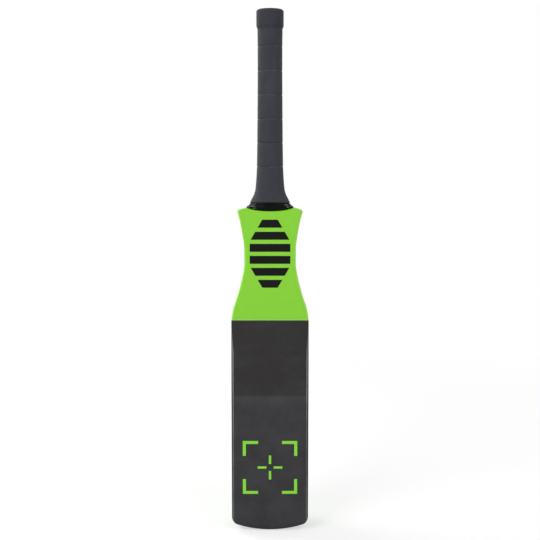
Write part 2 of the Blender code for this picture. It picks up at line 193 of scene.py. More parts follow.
class Bench:
    """One material's nodes, with short calls for what the finishes have in common."""

    edge_start_run: float = 0.15
    edge_end_run: float = 0.10
    edge_outward: Span = (0.10, 0.25)

    def __init__(self, name: str) -> None:
        """Start a material.

        Args:
            name: the material's name.
        """
        self.material = bpy.data.materials.new(name)
        self.material.use_nodes = True
        self.tree = self.material.node_tree
        self.shader = self.tree.nodes["Principled BSDF"]
        self.place = self.add("ShaderNodeTexCoord").outputs["Object"]

    def add(self, kind: str, **settings: object) -> bpy.types.Node:
        """Add a node.

        Args:
            kind: the node's type name.
            settings: properties to set on it.

        Returns:
            The node.
        """
        node = self.tree.nodes.new(kind)
        for name, value in settings.items():
            setattr(node, name, value)
        return node

    def feed(self, socket: Socket, value: object) -> None:
        """Set a socket to a number or colour, or link another socket to it.

        Args:
            socket: the socket to feed.
            value: a number, colour or other socket.
        """
        if isinstance(value, Socket):
            self.tree.links.new(value, socket)
        else:
            socket.default_value = value

    def maths(self, operation: str, first: object, second: object = 0.0,
              third: object = 0.0) -> Socket:
        """One arithmetic step.

        Args:
            operation: the step, such as MULTIPLY.
            first: a number or socket.
            second: a number or socket.
            third: a number or socket, where the step takes three.

        Returns:
            The result's socket.
        """
        node = self.add("ShaderNodeMath", operation=operation)
        for index, value in enumerate((first, second, third)):
            self.feed(node.inputs[index], value)
        return node.outputs[0]

    def times(self, first: object, second: object) -> Socket:
        """The product of two numbers or sockets."""
        return self.maths("MULTIPLY", first, second)

    def larger(self, first: object, second: object) -> Socket:
        """The larger of two numbers or sockets."""
        return self.maths("MAXIMUM", first, second)

    def largest(self, *values: object) -> Socket:
        """The largest of several numbers or sockets."""
        return functools.reduce(self.larger, values)

    def minus(self, first: object, second: object) -> Socket:
        """The first number or socket less the second."""
        return self.maths("SUBTRACT", first, second)

    def spread(self, value: object, factor: float, base: object) -> Socket:
        """A base plus a factor times a value."""
        return self.maths("MULTIPLY_ADD", value, factor, base)

    def unsigned(self, value: object) -> Socket:
        """A value without its sign."""
        return self.maths("ABSOLUTE", value)

    def stretched(self, scale: Scale) -> Socket:
        """The place on the bat, scaled along each axis.

        Args:
            scale: the factors along X, Y and Z.

        Returns:
            The scaled place's socket.
        """
        node = self.add("ShaderNodeVectorMath", operation="MULTIPLY")
        self.feed(node.inputs[0], self.place)
        self.feed(node.inputs[1], scale)
        return node.outputs[0]

    def noise(self, scale: Scale, detail: float = 3.0, rough: float = 0.5) -> Socket:
        """Soft noise.

        Args:
            scale: features to a metre along X, Y and Z.
            detail: how many finer layers it has.
            rough: how strong the finer layers are.

        Returns:
            The noise, about 0.5 on average.
        """
        node = self.add("ShaderNodeTexNoise")
        self.feed(node.inputs["Vector"], self.stretched(scale))
        self.feed(node.inputs["Scale"], 1.0)
        self.feed(node.inputs["Detail"], detail)
        self.feed(node.inputs["Roughness"], rough)
        return node.outputs["Fac"]

    def cells(self, scale: Scale) -> Socket:
        """Distance to the nearest of scattered points.

        Args:
            scale: points to a metre along X, Y and Z.

        Returns:
            The distance's socket.
        """
        node = self.add("ShaderNodeTexVoronoi")
        self.feed(node.inputs["Vector"], self.stretched(scale))
        self.feed(node.inputs["Scale"], 1.0)
        return node.outputs["Distance"]

    def ramp(self, value: Socket, span: Span, results: Span) -> Socket:
        """Smooth step from one result to another while the value crosses a span.

        Args:
            value: what drives it.
            span: the values at which the step starts and ends.
            results: the results before and after the step.

        Returns:
            The result's socket.
        """
        node = self.add("ShaderNodeMapRange", interpolation_type="SMOOTHSTEP")
        for name, number in zip(("From Min", "From Max", "To Min", "To Max"), (*span, *results)):
            self.feed(node.inputs[name], number)
        self.feed(node.inputs["Value"], value)
        return node.outputs["Result"]

    def rise(self, value: Socket, span: Span, top: float = 1.0) -> Socket:
        """Smooth step from 0 to a top."""
        return self.ramp(value, span, (0.0, top))

    def fade(self, value: Socket, span: Span, top: float = 1.0) -> Socket:
        """Smooth step from a top to 0."""
        return self.ramp(value, span, (top, 0.0))

    def blend(self, share: object, first: object, second: object) -> Socket:
        """Blend two colours.

        Args:
            share: 0 for the first, 1 for the second.
            first: a colour or socket.
            second: a colour or socket.

        Returns:
            The blended colour's socket.
        """
        node = self.add("ShaderNodeMix", data_type="RGBA")
        self.feed(node.inputs["Factor"], share)
        colours = [socket for socket in node.inputs if socket.type == "RGBA"]
        self.feed(colours[0], first)
        self.feed(colours[1], second)
        return next(socket for socket in node.outputs if socket.type == "RGBA")

    def bump(self, height: Socket, depth: float, under: object = None) -> Socket:
        """Relief from a height of 0 to 1.

        Args:
            height: the height.
            depth: metres between 0 and 1.
            under: relief that this one lies on, if any.

        Returns:
            The normal's socket.
        """
        node = self.add("ShaderNodeBump")
        self.feed(node.inputs["Distance"], depth)
        self.feed(node.inputs["Height"], height)
        if under is not None:
            self.feed(node.inputs["Normal"], under)
        return node.outputs["Normal"]

    def axis(self, letter: str) -> Socket:
        """One coordinate of the place on the bat.

        Args:
            letter: X, Y or Z.

        Returns:
            The coordinate's socket.
        """
        node = self.add("ShaderNodeSeparateXYZ")
        self.feed(node.inputs[0], self.place)
        return node.outputs[letter]

    def facing(self, letter: str) -> Socket:
        """How far the surface looks along an axis.

        Args:
            letter: X, Y or Z.

        Returns:
            1 where it looks straight along the axis, -1 where straight against it.
        """
        node = self.add("ShaderNodeSeparateXYZ")
        self.feed(node.inputs[0], self.add("ShaderNodeNewGeometry").outputs["Normal"])
        return node.outputs[letter]

    def turned_edge(self, start: float, end: float, front: bool) -> Socket:
        """The rounded long edges, told by how far they have turned towards the side.

        Args:
            start: sideways share of the normal where the strip begins.
            end: sideways share of the normal where it ends.
            front: take the edges on the padded side, not those on the back.

        Returns:
            1 on the strips and 0 away from them.
        """
        sideways = self.unsigned(self.facing("X"))
        turned = self.times(self.rise(sideways, (start, start + self.edge_start_run)),
                            self.fade(sideways, (end - self.edge_end_run, end)))
        outward = self.times(self.facing("Y"), -1.0 if front else 1.0)
        return self.times(turned, self.rise(outward, self.edge_outward))

    def edges(self) -> Socket:
        """How sharp an outward edge the surface has, above 0.5 on one."""
        return self.add("ShaderNodeNewGeometry").outputs["Pointiness"]

    def finish(self, colour: object, roughness: object, normal: object = None,
               **constants: float) -> Material:
        """Join the results to the shader.

        Args:
            colour: the base colour.
            roughness: the roughness.
            normal: the relief, if any.
            constants: plain numbers for the shader's own sockets, by name with _ for a space.

        Returns:
            The material.
        """
        self.feed(self.shader.inputs["Base Color"], colour)
        self.feed(self.shader.inputs["Roughness"], roughness)
        if normal is not None:
            self.feed(self.shader.inputs["Normal"], normal)
        for name, value in constants.items():
            self.shader.inputs[name.replace("_", " ")].default_value = value
        return self.material


# Finishes


@dataclass(frozen=True)
class GlossPaint:
    """Sprayed green gloss over wood: slight orange peel, faint grain, scuffed crisp edges, painted
    highlights and a painted face sheen.
    """

    base: Colour = srgb(119, 198, 8)
    deep: Colour = srgb(112, 190, 4)
    # worn paint on scuffed crisp edges, also the colour of the painted highlights on edges, spine
    # and pad line
    scuff_and_highlight: Colour = srgb(172, 226, 112)
    # painted sheen: the paler, hazier tone of the face, standing in for reflected white from the
    # front
    face_sheen: Colour = srgb(125, 193, 54)
    cloud_scale: Scale = (22, 22, 9)
    cloud_span: Span = (0.35, 0.65)
    fibre_scale: Scale = (420, 420, 26)
    fibre_span: Span = (0.45, 0.75)
    fibre_share: float = 0.16
    scuff_scale: Scale = (160, 160, 90)
    scuff_span: Span = (0.48, 0.66)
    face_sheen_turn: Span = (-0.98, -0.80)
    face_sheen_share: float = 0.9
    crisp: Span = (0.52, 0.60)
    crisp_wear: float = 0.6
    back_edge: Span = (0.55, 0.98)
    back_edge_highlight: float = 0.60
    front_edge: Span = (0.28, 0.98)
    front_edge_highlight: float = 0.45
    # painted highlight along the spine's ridge
    spine_line: Span = (0.00032, 0.0008)
    spine_from: Span = (0.010, 0.014)
    spine_heights: Span = (0.340, 0.430)
    spine_highlight_shares: Span = (0.18, 0.85)
    # painted highlight on the face just above the pad
    line_height: float = PAD_TOP + 0.0009
    line_half: Span = (0.0004, 0.0012)
    line_turn: Span = (-0.98, -0.90)
    line_highlight: float = 0.55
    roughness: float = 0.10
    cloud_roughness: float = 0.08
    worn_roughness: float = 0.25
    peel_scale: Scale = (700, 700, 700)
    peel_depth: float = 0.000035
    fibre_depth: float = 0.000030

    def _spine_highlight(self, bench: Bench) -> Socket:
        """Painted highlight: a thin pale line along the spine, strongest by the neck.

        Args:
            bench: the material's nodes.

        Returns:
            How pale it is, 0 to 1.
        """
        line = bench.fade(bench.unsigned(bench.axis("X")), self.spine_line)
        line = bench.times(line, bench.rise(bench.axis("Y"), self.spine_from))
        return bench.times(line, bench.ramp(bench.axis("Z"), self.spine_heights, self.spine_highlight_shares))

    def _pad_line_highlight(self, bench: Bench) -> Socket:
        """Painted highlight: a thin pale line on the face just above the pad.

        Args:
            bench: the material's nodes.

        Returns:
            How pale it is, 0 to 1.
        """
        off = bench.unsigned(bench.minus(bench.axis("Z"), self.line_height))
        line = bench.fade(off, self.line_half, self.line_highlight)
        return bench.times(line, bench.fade(bench.facing("Y"), self.line_turn))

    def _wear_and_highlights(self, bench: Bench) -> Socket:
        """Where the paint is paler: scuffed crisp edges, which is wear, and painted highlights
        along the rounded edges, the spine and the pad's line.

        Args:
            bench: the material's nodes.

        Returns:
            How pale it is, 0 to 1.
        """
        scuffs = bench.rise(bench.noise(self.scuff_scale, detail=5, rough=0.7), self.scuff_span)
        crisp = bench.rise(bench.edges(), self.crisp, self.crisp_wear)
        return bench.largest(
            bench.times(crisp, scuffs),
            # painted highlights along the rounded back and front edges
            bench.times(bench.turned_edge(*self.back_edge, False), self.back_edge_highlight),
            bench.times(bench.turned_edge(*self.front_edge, True), self.front_edge_highlight),
            self._pad_line_highlight(bench), self._spine_highlight(bench))

    def make(self) -> Material:
        """Make the paint.

        Returns:
            The material.
        """
        bench = Bench("green_gloss_paint")
        clouds = bench.noise(self.cloud_scale, detail=2)
        fibres = bench.noise(self.fibre_scale, detail=4, rough=0.6)
        # painted sheen on the surfaces that look towards -Y
        face_sheen = bench.fade(bench.facing("Y"), self.face_sheen_turn, self.face_sheen_share)
        # scuffs, plus painted highlights on the edges, the spine and the line above the pad
        wear_and_highlight = self._wear_and_highlights(bench)
        grain = bench.rise(fibres, self.fibre_span, self.fibre_share)
        colour = bench.blend(bench.rise(clouds, self.cloud_span), self.deep, self.base)
        colour = bench.blend(grain, colour, self.deep)
        colour = bench.blend(face_sheen, colour, self.face_sheen)
        colour = bench.blend(wear_and_highlight, colour, self.scuff_and_highlight)
        rough = bench.spread(clouds, self.cloud_roughness, self.roughness)
        rough = bench.spread(wear_and_highlight, self.worn_roughness, rough)
        relief = bench.bump(bench.noise(self.peel_scale, detail=2), self.peel_depth)
        relief = bench.bump(fibres, self.fibre_depth, relief)
        return bench.finish(colour, rough, relief, IOR=1.5, Specular_IOR_Level=0.12,
                            Coat_Weight=0.12, Coat_Roughness=0.03)


@dataclass(frozen=True)
class FoamSkin:
    """Moulded closed-cell foam: a fine pebbled skin, a little dusty, with painted shade and a
    painted edge highlight.
    """

    base: Colour = srgb(60, 60, 62)
    dark: Colour = srgb(52, 52, 54)
    # painted shade on the ramp above the knee
    ramp: Colour = srgb(48, 46, 46)
    # painted shade on the pad's sides
    cut: Colour = srgb(30, 28, 28)
    dust: Colour = srgb(92, 93, 95)
    # painted highlight along the front edges
    rim: Colour = srgb(143, 147, 148)
    cloud_scale: Scale = (26, 26, 26)
    cloud_span: Span = (0.3, 0.7)
    pore_scale: Scale = FOAM_PORES
    pore_span: Span = FOAM_PORE_SPAN
    # painted shade in the pits of the pores
    pore_shade_share: float = 0.35
    pore_depth: float = 0.00012
    knee: float = 0.1903
    knee_soft: float = 0.003
    wander_scale: Scale = (24, 24, 12)
    wander: float = 0.006
    shade_scale: Scale = (14, 14, 22)
    shade_span: Span = (0.35, 0.62)
    shade_shares: Span = (0.35, 0.95)
    dust_reach: float = 0.024
    dust_gap: float = 0.002
    dust_share: float = 0.11
    dust_turn: Span = (-0.8, -0.5)
    speck_scale: Scale = (900, 900, 900)
    speck_span: Span = (0.60, 0.74)
    speck_share: float = 0.4
    lint_scale: Scale = (120, 120, 120)
    lint_span: Span = (0.03, 0.06)
    lint_share: float = 0.8
    crisp: Span = (0.51, 0.57)
    crisp_share: float = 0.35
    side_shade_turn: Span = (0.80, 0.97)
    side_shade_share: float = 0.85
    rim_turn: Span = (0.36, 0.68)
    rim_clouds: Span = (0.3, 0.6)
    rim_shares: Span = (0.5, 0.9)
    rim_reach: float = 0.060
    rim_below: Span = (0.45, 1.0)
    roughness: float = 0.62
    cloud_roughness: float = 0.16
    swell_scale: Scale = (60, 60, 60)
    swell_depth: float = 0.0003

    def _about_knee(self, below: float, above: float) -> Span:
        """Heights from below the knee to above it."""
        return self.knee - below, self.knee + above

    def _ramp_shade_share(self, bench: Bench, height: Socket) -> Socket:
        """Painted shade: the darker tone of the ramp, uneven above the knee.

        Args:
            bench: the material's nodes.
            height: height above the toe, wandering a little.

        Returns:
            Its share, 0 to 1.
        """
        uneven = bench.noise(self.shade_scale, detail=3, rough=0.6)
        return bench.times(bench.rise(height, self._about_knee(self.knee_soft, self.knee_soft)),
                           bench.ramp(uneven, self.shade_span, self.shade_shares))

    def _dust_share(self, bench: Bench, height: Socket) -> Socket:
        """Dust that gathers on the flat front below the knee.

        Args:
            bench: the material's nodes.
            height: height above the toe, wandering a little.

        Returns:
            Its share, 0 to 1.
        """
        gathering = self._about_knee(self.dust_reach, -self.dust_gap)
        share = bench.times(bench.rise(height, gathering, self.dust_share),
                            bench.fade(height, self._about_knee(0.0, self.dust_gap)))
        return bench.times(share, bench.fade(bench.facing("Y"), self.dust_turn))

    def _speck_share(self, bench: Bench) -> Socket:
        """Pale specks and bits of lint all over.

        Args:
            bench: the material's nodes.

        Returns:
            Their share, 0 to 1.
        """
        specks = bench.noise(self.speck_scale, detail=5, rough=0.75)
        lint = bench.cells(self.lint_scale)
        return bench.larger(bench.rise(specks, self.speck_span, self.speck_share),
                            bench.fade(lint, self.lint_span, self.lint_share))

    def _rim_highlight_share(self, bench: Bench, clouds: Socket, height: Socket) -> Socket:
        """Painted highlight: a pale line along the front edges, weaker towards the toe.

        Args:
            bench: the material's nodes.
            clouds: the skin's soft noise.
            height: height above the toe, wandering a little.

        Returns:
            Its share, 0 to 1.
        """
        along = bench.ramp(height, self._about_knee(self.rim_reach, 0.0), self.rim_below)
        uneven = bench.ramp(clouds, self.rim_clouds, self.rim_shares)
        return bench.times(bench.times(bench.turned_edge(*self.rim_turn, True), uneven), along)

    def make(self) -> Material:
        """Make the foam.

        Returns:
            The material.
        """
        bench = Bench("dark_grey_foam")
        clouds = bench.noise(self.cloud_scale, detail=4, rough=0.6)
        pores = bench.rise(bench.cells(self.pore_scale), self.pore_span)
        wander = bench.spread(bench.noise(self.wander_scale, detail=3, rough=0.6), self.wander,
                              -self.wander / 2)
        height = bench.maths("ADD", bench.axis("Z"), wander)
        crisp = bench.rise(bench.edges(), self.crisp, self.crisp_share)
        # painted shade on the sides that face along X
        cut = bench.rise(bench.unsigned(bench.facing("X")), self.side_shade_turn, self.side_shade_share)
        colour = bench.blend(bench.rise(clouds, self.cloud_span), self.dark, self.base)
        # the pore pits take painted shade first, then the other tones in turn
        for share, tone in ((bench.fade(pores, (0.0, 1.0), self.pore_shade_share), self.dark),
                            (self._ramp_shade_share(bench, height), self.ramp),
                            (self._dust_share(bench, height), self.dust),
                            (self._speck_share(bench), self.dust),
                            (crisp, self.dust),
                            (cut, self.cut),
                            (self._rim_highlight_share(bench, clouds, height), self.rim)):
            colour = bench.blend(share, colour, tone)
        rough = bench.spread(clouds, self.cloud_roughness, self.roughness)
        relief = bench.bump(bench.noise(self.swell_scale, detail=2), self.swell_depth)
        relief = bench.bump(pores, self.pore_depth, relief)
        return bench.finish(colour, rough, relief, IOR=1.45, Specular_IOR_Level=0.03)


class RubberPattern(Enum):
    """What is moulded into the rubber."""

    DIAMONDS = "diamonds"
    FINE_PEBBLE = "fine_pebble"


@dataclass(frozen=True)
class GripRubber:
    """Black grip rubber, with crossed fine ribs or a fine pebble moulded in, painted shade behind
    and painted highlights in the grooves.
    """

    pattern: RubberPattern
    base: Colour = srgb(51, 53, 58)
    dark: Colour = srgb(43, 45, 50)
    # painted shade on the side that faces the back
    grip_back_shade: Colour = srgb(20, 20, 22)
    # worn rubber on the ribs and crisp edges, also the painted highlight in the grooves
    worn: Colour = srgb(96, 99, 104)
    cloud_scale: Scale = (45, 45, 20)
    cloud_span: Span = (0.3, 0.7)
    grip_back_shade_wander: float = 0.5
    grip_back_shade_span: Span = (-0.55, 0.50)
    grip_back_shade_share: float = 0.90
    grain_scale: Scale = (1500, 1500, 1500)
    grain_depth: float = 0.00006
    radius: float = 0.0172
    rib_pitch: float = 0.0026
    rib_span: Span = (-0.2, 0.95)
    rib_depth: float = 0.00011
    rib_wear: float = 0.12
    groove_span: Span = (0.010, 0.030)
    groove_highlight_scale: Scale = (70, 70, 25)
    groove_highlight_span: Span = (0.42, 0.60)
    groove_highlight_shares: Span = (0.05, 0.34)
    pebble_scale: Scale = (900, 900, 900)
    pebble_span: Span = (0.1, 0.6)
    pebble_depth: float = 0.00008
    crisp: Span = (0.52, 0.62)
    crisp_share: float = 0.25
    roughness: float = 0.50
    cloud_roughness: float = 0.18

    def _crossed_ribs(self, bench: Bench) -> Socket:
        """Two sets of ribs that wind up the grip both ways and leave small diamonds.

        Args:
            bench: the material's nodes.

        Returns:
            The height of the ribs, 0 to 1.
        """
        turn = bench.maths("ARCTAN2", bench.axis("X"), bench.axis("Y"))
        around = bench.times(turn, round(2 * math.pi * self.radius / self.rib_pitch))
        upward = bench.times(bench.axis("Z"), 2 * math.pi / self.rib_pitch)
        first = bench.maths("SINE", bench.maths("ADD", upward, around))
        second = bench.maths("SINE", bench.minus(upward, around))
        return bench.rise(bench.larger(first, second), self.rib_span)

    def _in_groove(self, bench: Bench) -> Socket:
        """Where the rings above the flare are.

        Args:
            bench: the material's nodes.

        Returns:
            1 in the rings and 0 away from them.
        """
        turns = bench.maths("DIVIDE", bench.minus(bench.axis("Z"), FIRST_GROOVE), GROOVE_PITCH)
        nearest = bench.larger(bench.maths("ROUND", turns), 1.0)
        nearest = bench.maths("MINIMUM", nearest, float(GROOVES - 1))
        return bench.fade(bench.unsigned(bench.minus(turns, nearest)), self.groove_span)

    def make(self) -> Material:
        """Make the rubber.

        Returns:
            The material.
        """
        bench = Bench("black_grip_rubber_" + self.pattern.value)
        clouds = bench.noise(self.cloud_scale, detail=4, rough=0.6)
        # painted shade: darker, unevenly, where the rubber faces the back
        turned = bench.spread(clouds, self.grip_back_shade_wander, bench.facing("Y"))
        grip_back_shade = bench.rise(turned, self.grip_back_shade_span, self.grip_back_shade_share)
        crisp = bench.rise(bench.edges(), self.crisp, self.crisp_share)
        colour = bench.blend(bench.rise(clouds, self.cloud_span), self.dark, self.base)
        colour = bench.blend(grip_back_shade, colour, self.grip_back_shade)
        relief = bench.bump(bench.noise(self.grain_scale, detail=3), self.grain_depth)
        if self.pattern is RubberPattern.DIAMONDS:
            groove = self._in_groove(bench)
            ribs = bench.times(self._crossed_ribs(bench), bench.minus(1.0, groove))
            # painted highlight in the grooves, uneven, standing in for their lit lips
            groove_highlight = bench.noise(self.groove_highlight_scale, detail=3)
            groove_highlight = bench.ramp(groove_highlight, self.groove_highlight_span, self.groove_highlight_shares)
            colour = bench.blend(bench.times(ribs, self.rib_wear), colour, self.worn)
            colour = bench.blend(bench.times(groove, groove_highlight), colour, self.worn)
            relief = bench.bump(ribs, self.rib_depth, relief)
        else:
            pebble = bench.rise(bench.cells(self.pebble_scale), self.pebble_span)
            relief = bench.bump(pebble, self.pebble_depth, relief)
        colour = bench.blend(crisp, colour, self.worn)
        rough = bench.spread(clouds, self.cloud_roughness, self.roughness)
        return bench.finish(colour, rough, relief, IOR=1.5, Specular_IOR_Level=0.10)


@dataclass(frozen=True)
class NeckGloss:
    """Gloss black tape, wound tight and slightly creased, with painted shade behind and painted
    glints on its creases.
    """

    base: Colour = srgb(13, 14, 14)
    fold: Colour = srgb(22, 23, 24)
    # painted shade on the side that faces the back
    tape_back_shade: Colour = srgb(3, 3, 4)
    glint: Colour = srgb(190, 192, 194)
    fold_scale: Scale = (55, 55, 210)
    fold_span: Span = (0.4, 0.7)
    fold_depth: float = 0.00070
    tape_back_shade_turn: Span = (-0.6, 0.3)
    tape_back_shade_share: float = 0.9
    crease_scale: Scale = (130, 130, 900)
    crease_span: Span = (0.55, 0.65)
    crease_share: float = 0.9
    aside: Span = (0.018, 0.026)
    aside_share: float = 0.8
    aside_turn: Span = (-0.5, 0.1)
    aside_behind: Span = (1.0, 0.35)
    ridge_half: Span = (0.0005, 0.0012)
    ridge_from: Span = (0.020, 0.025)
    pimple_scale: Scale = (420, 420, 420)
    pimple_depth: float = 0.00004
    gloss_scale: Scale = (150, 150, 150)
    roughness: float = 0.06
    gloss_roughness: float = 0.16

    def _glints(self, bench: Bench) -> Socket:
        """Thin creases that catch the light towards the sides and over the spine's ridge.

        Args:
            bench: the material's nodes.

        Returns:
            Their share, 0 to 1.
        """
        off = bench.unsigned(bench.axis("X"))
        creased = bench.rise(bench.noise(self.crease_scale, detail=3, rough=0.6), self.crease_span,
                             self.crease_share)
        aside = bench.times(bench.rise(off, self.aside, self.aside_share),
                            bench.ramp(bench.facing("Y"), self.aside_turn, self.aside_behind))
        ridge = bench.times(bench.fade(off, self.ridge_half),
                            bench.rise(bench.axis("Y"), self.ridge_from))
        return bench.times(creased, bench.larger(aside, ridge))

    def make(self) -> Material:
        """Make the tape.

        Returns:
            The material.
        """
        bench = Bench("gloss_black_tape")
        folds = bench.noise(self.fold_scale, detail=3, rough=0.55)
        # painted shade: darker where the tape faces the back
        tape_back_shade = bench.rise(bench.facing("Y"), self.tape_back_shade_turn, self.tape_back_shade_share)
        colour = bench.blend(bench.rise(folds, self.fold_span), self.base, self.fold)
        colour = bench.blend(tape_back_shade, colour, self.tape_back_shade)
        colour = bench.blend(self._glints(bench), colour, self.glint)
        relief = bench.bump(folds, self.fold_depth)
        relief = bench.bump(bench.noise(self.pimple_scale, detail=2), self.pimple_depth, relief)
        rough = bench.spread(bench.noise(self.gloss_scale), self.gloss_roughness, self.roughness)
        return bench.finish(colour, rough, relief, IOR=1.5, Specular_IOR_Level=0.03)


@dataclass(frozen=True)
class Cane:
    """Bare cane: straight fibres along the handle and dark pores on the sawn end."""

    base: Colour = srgb(206, 172, 116)
    dark: Colour = srgb(160, 118, 66)
    pore: Colour = srgb(92, 62, 34)
    fibre_scale: Scale = (900, 900, 14)
    fibre_span: Span = (0.35, 0.7)
    fibre_depth: float = 0.0001
    pore_scale: Scale = (1300, 1300, 20)
    pore_span: Span = (0.16, 0.34)
    sawn_turn: Span = (0.6, 0.9)
    roughness: float = 0.5
    fibre_roughness: float = 0.2

    def make(self) -> Material:
        """Make the cane.

        Returns:
            The material.
        """
        bench = Bench("bare_cane")
        fibres = bench.noise(self.fibre_scale, detail=4, rough=0.6)
        pores = bench.fade(bench.cells(self.pore_scale), self.pore_span)
        side = bench.blend(bench.rise(fibres, self.fibre_span), self.base, self.dark)
        sawn = bench.blend(pores, self.base, self.pore)
        colour = bench.blend(bench.rise(bench.facing("Z"), self.sawn_turn), side, sawn)
        rough = bench.spread(fibres, self.fibre_roughness, self.roughness)
        return bench.finish(colour, rough, bench.bump(fibres, self.fibre_depth))


@dataclass(frozen=True)
class PlainSheet:
    """A thin hidden layer with a little mottling: rubber strip or bonding sheet."""

    name: str
    base: Colour
    dark: Colour
    roughness: float
    cloud_roughness: float = 0.15
    cloud_scale: Scale = (180, 180, 180)
    cloud_span: Span = (0.35, 0.65)
    cloud_depth: float = 0.00008

    def make(self) -> Material:
        """Make the layer's material.

        Returns:
            The material.
        """
        bench = Bench(self.name)
        clouds = bench.noise(self.cloud_scale, detail=4, rough=0.6)
        colour = bench.blend(bench.rise(clouds, self.cloud_span), self.dark, self.base)
        rough = bench.spread(clouds, self.cloud_roughness, self.roughness)
        return bench.finish(colour, rough, bench.bump(clouds, self.cloud_depth))


@dataclass(frozen=True)
class Twine:
    """Waxed thread wound close together, with painted shade between the turns."""

    base: Colour = srgb(214, 196, 160)
    dark: Colour = srgb(150, 128, 92)
    thread: float = 0.0012
    thread_span: Span = (-1.0, 0.8)
    thread_depth: float = 0.0003
    fuzz_scale: Scale = (1200, 1200, 2500)
    fuzz_span: Span = (0.5, 0.8)
    fuzz_share: float = 0.4
    roughness: float = 0.55
    fuzz_roughness: float = 0.2

    def make(self) -> Material:
        """Make the twine.

        Returns:
            The material.
        """
        bench = Bench("waxed_twine")
        turns = bench.maths("SINE", bench.times(bench.axis("Z"), 2 * math.pi / self.thread))
        round_thread = bench.rise(turns, self.thread_span)
        fuzz = bench.noise(self.fuzz_scale, detail=3)
        # painted shade: darker between the turns of thread
        colour = bench.blend(round_thread, self.dark, self.base)
        colour = bench.blend(bench.rise(fuzz, self.fuzz_span, self.fuzz_share), colour, self.dark)
        rough = bench.spread(fuzz, self.fuzz_roughness, self.roughness)
        return bench.finish(colour, rough, bench.bump(round_thread, self.thread_depth))


@dataclass(frozen=True)
class Ink:
    """Screen-printed ink, thin enough to show the surface under it."""

    name: str
    base: Colour
    thin: Colour
    roughness: float
    pore_depth: float
    cover_roughness: float = 0.15
    cover_scale: Scale = (300, 300, 300)
    cover_span: Span = (0.52, 0.78)
    cover_share: float = 0.6

    def make(self) -> Material:
        """Make the ink.

        Returns:
            The material.
        """
        bench = Bench(self.name)
        cover = bench.noise(self.cover_scale, detail=5, rough=0.7)
        pores = bench.rise(bench.cells(FOAM_PORES), FOAM_PORE_SPAN)
        worn = bench.rise(cover, self.cover_span, self.cover_share)
        colour = bench.blend(worn, self.base, self.thin)
        rough = bench.spread(cover, self.cover_roughness, self.roughness)
        return bench.finish(colour, rough, bench.bump(pores, self.pore_depth), IOR=1.5,
                            Specular_IOR_Level=0.12)


# Mesh work that the pieces share


def join_rings(bm: bmesh.types.BMesh, lower: Sequence, upper: Sequence) -> None:
    """Lay quads between two closed rings of as many vertices.

    Args:
        bm: the mesh in the making.
        lower: one ring.
        upper: the next ring.
    """
    count = len(lower)
    for index in range(count):
        after = (index + 1) % count
        bm.faces.new((lower[index], lower[after], upper[after], upper[index]))


def oval(half_x: float, half_y: float, centre_y: float, level: Surface | float, sides: int,
         squareness: float = 2.0) -> Ring:
    """A ring of points round an oval.

    Args:
        half_x: half of its width.
        half_y: half of its depth.
        centre_y: Y of its middle; its X is 0.
        level: its height, or a function of x and y that gives it.
        sides: how many points it has.
        squareness: 2 for an ellipse, more for a boxier oval.

    Returns:
        The points.
    """
    points = []
    for step in range(sides):
        angle = 2 * math.pi * step / sides
        cos, sin = math.cos(angle), math.sin(angle)
        x = half_x * math.copysign(abs(cos) ** (2 / squareness), cos)
        y = centre_y + half_y * math.copysign(abs(sin) ** (2 / squareness), sin)
        points.append(Vector((x, y, level(x, y) if callable(level) else level)))
    return points


def piece_from(name: str, fill: Fill, sharp: float = 40.0) -> Piece:
    """Make an object from a function that fills its mesh.

    Args:
        name: the piece's name.
        fill: adds the vertices and faces.
        sharp: the angle in degrees from which an edge stays crisp.

    Returns:
        The object, with outward faces and smooth shading.
    """
    mesh = bpy.data.meshes.new(name)
    bm = bmesh.new()
    fill(bm)
    bmesh.ops.remove_doubles(bm, verts=bm.verts, dist=MERGE_DISTANCE)
    bmesh.ops.recalc_face_normals(bm, faces=bm.faces)
    bm.to_mesh(mesh)
    bm.free()
    smooth(mesh, sharp)
    piece = bpy.data.objects.new(name, mesh)
    bpy.context.scene.collection.objects.link(piece)
    return piece


def smooth(mesh: bpy.types.Mesh, sharp: float) -> None:
    """Shade a mesh smooth, apart from edges sharper than an angle in degrees."""
    mesh.shade_smooth()
    mesh.set_sharp_from_angle(angle=math.radians(sharp))


def rod(rings: Sequence[Ring]) -> Fill:
    """A solid bar through rings.

    Args:
        rings: its rings, from end to end.

    Returns:
        A function that fills a mesh with it.
    """
    def fill(bm: bmesh.types.BMesh) -> None:
        """Add the bar.

        Args:
            bm: the mesh in the making.
        """
        loops = [[bm.verts.new(point) for point in ring] for ring in rings]
        for lower, upper in zip(loops, loops[1:]):
            join_rings(bm, lower, upper)
        bm.faces.new(loops[0])
        bm.faces.new(loops[-1])
    return fill


def sleeve(outer: Sequence[Ring], inner: Sequence[Ring]) -> Fill:
    """A sleeve with a wall.

    Args:
        outer: rings up its outside.
        inner: rings down its inside.

    Returns:
        A function that fills a mesh with it.
    """
    def fill(bm: bmesh.types.BMesh) -> None:
        """Add the sleeve.

        Args:
            bm: the mesh in the making.
        """
        loops = [[bm.verts.new(point) for point in ring] for ring in [*outer, *inner]]
        for lower, upper in zip(loops, loops[1:] + loops[:1]):
            join_rings(bm, lower, upper)
    return fill


def dress(piece: Piece, material: Material, slot: str, *nodes: str) -> Piece:
    """Give a piece its material and its body, and hide the solids that it stands for.

    Args:
        piece: the piece.
        material: its material.
        slot: the record's material slot; not used.
        nodes: the solids that it replaces.

    Returns:
        The piece.
    """
    piece.data.materials.clear()
    piece.data.materials.append(material)
    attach(piece, BODY)
    if nodes:
        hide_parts(*nodes)
    return piece


# Forms


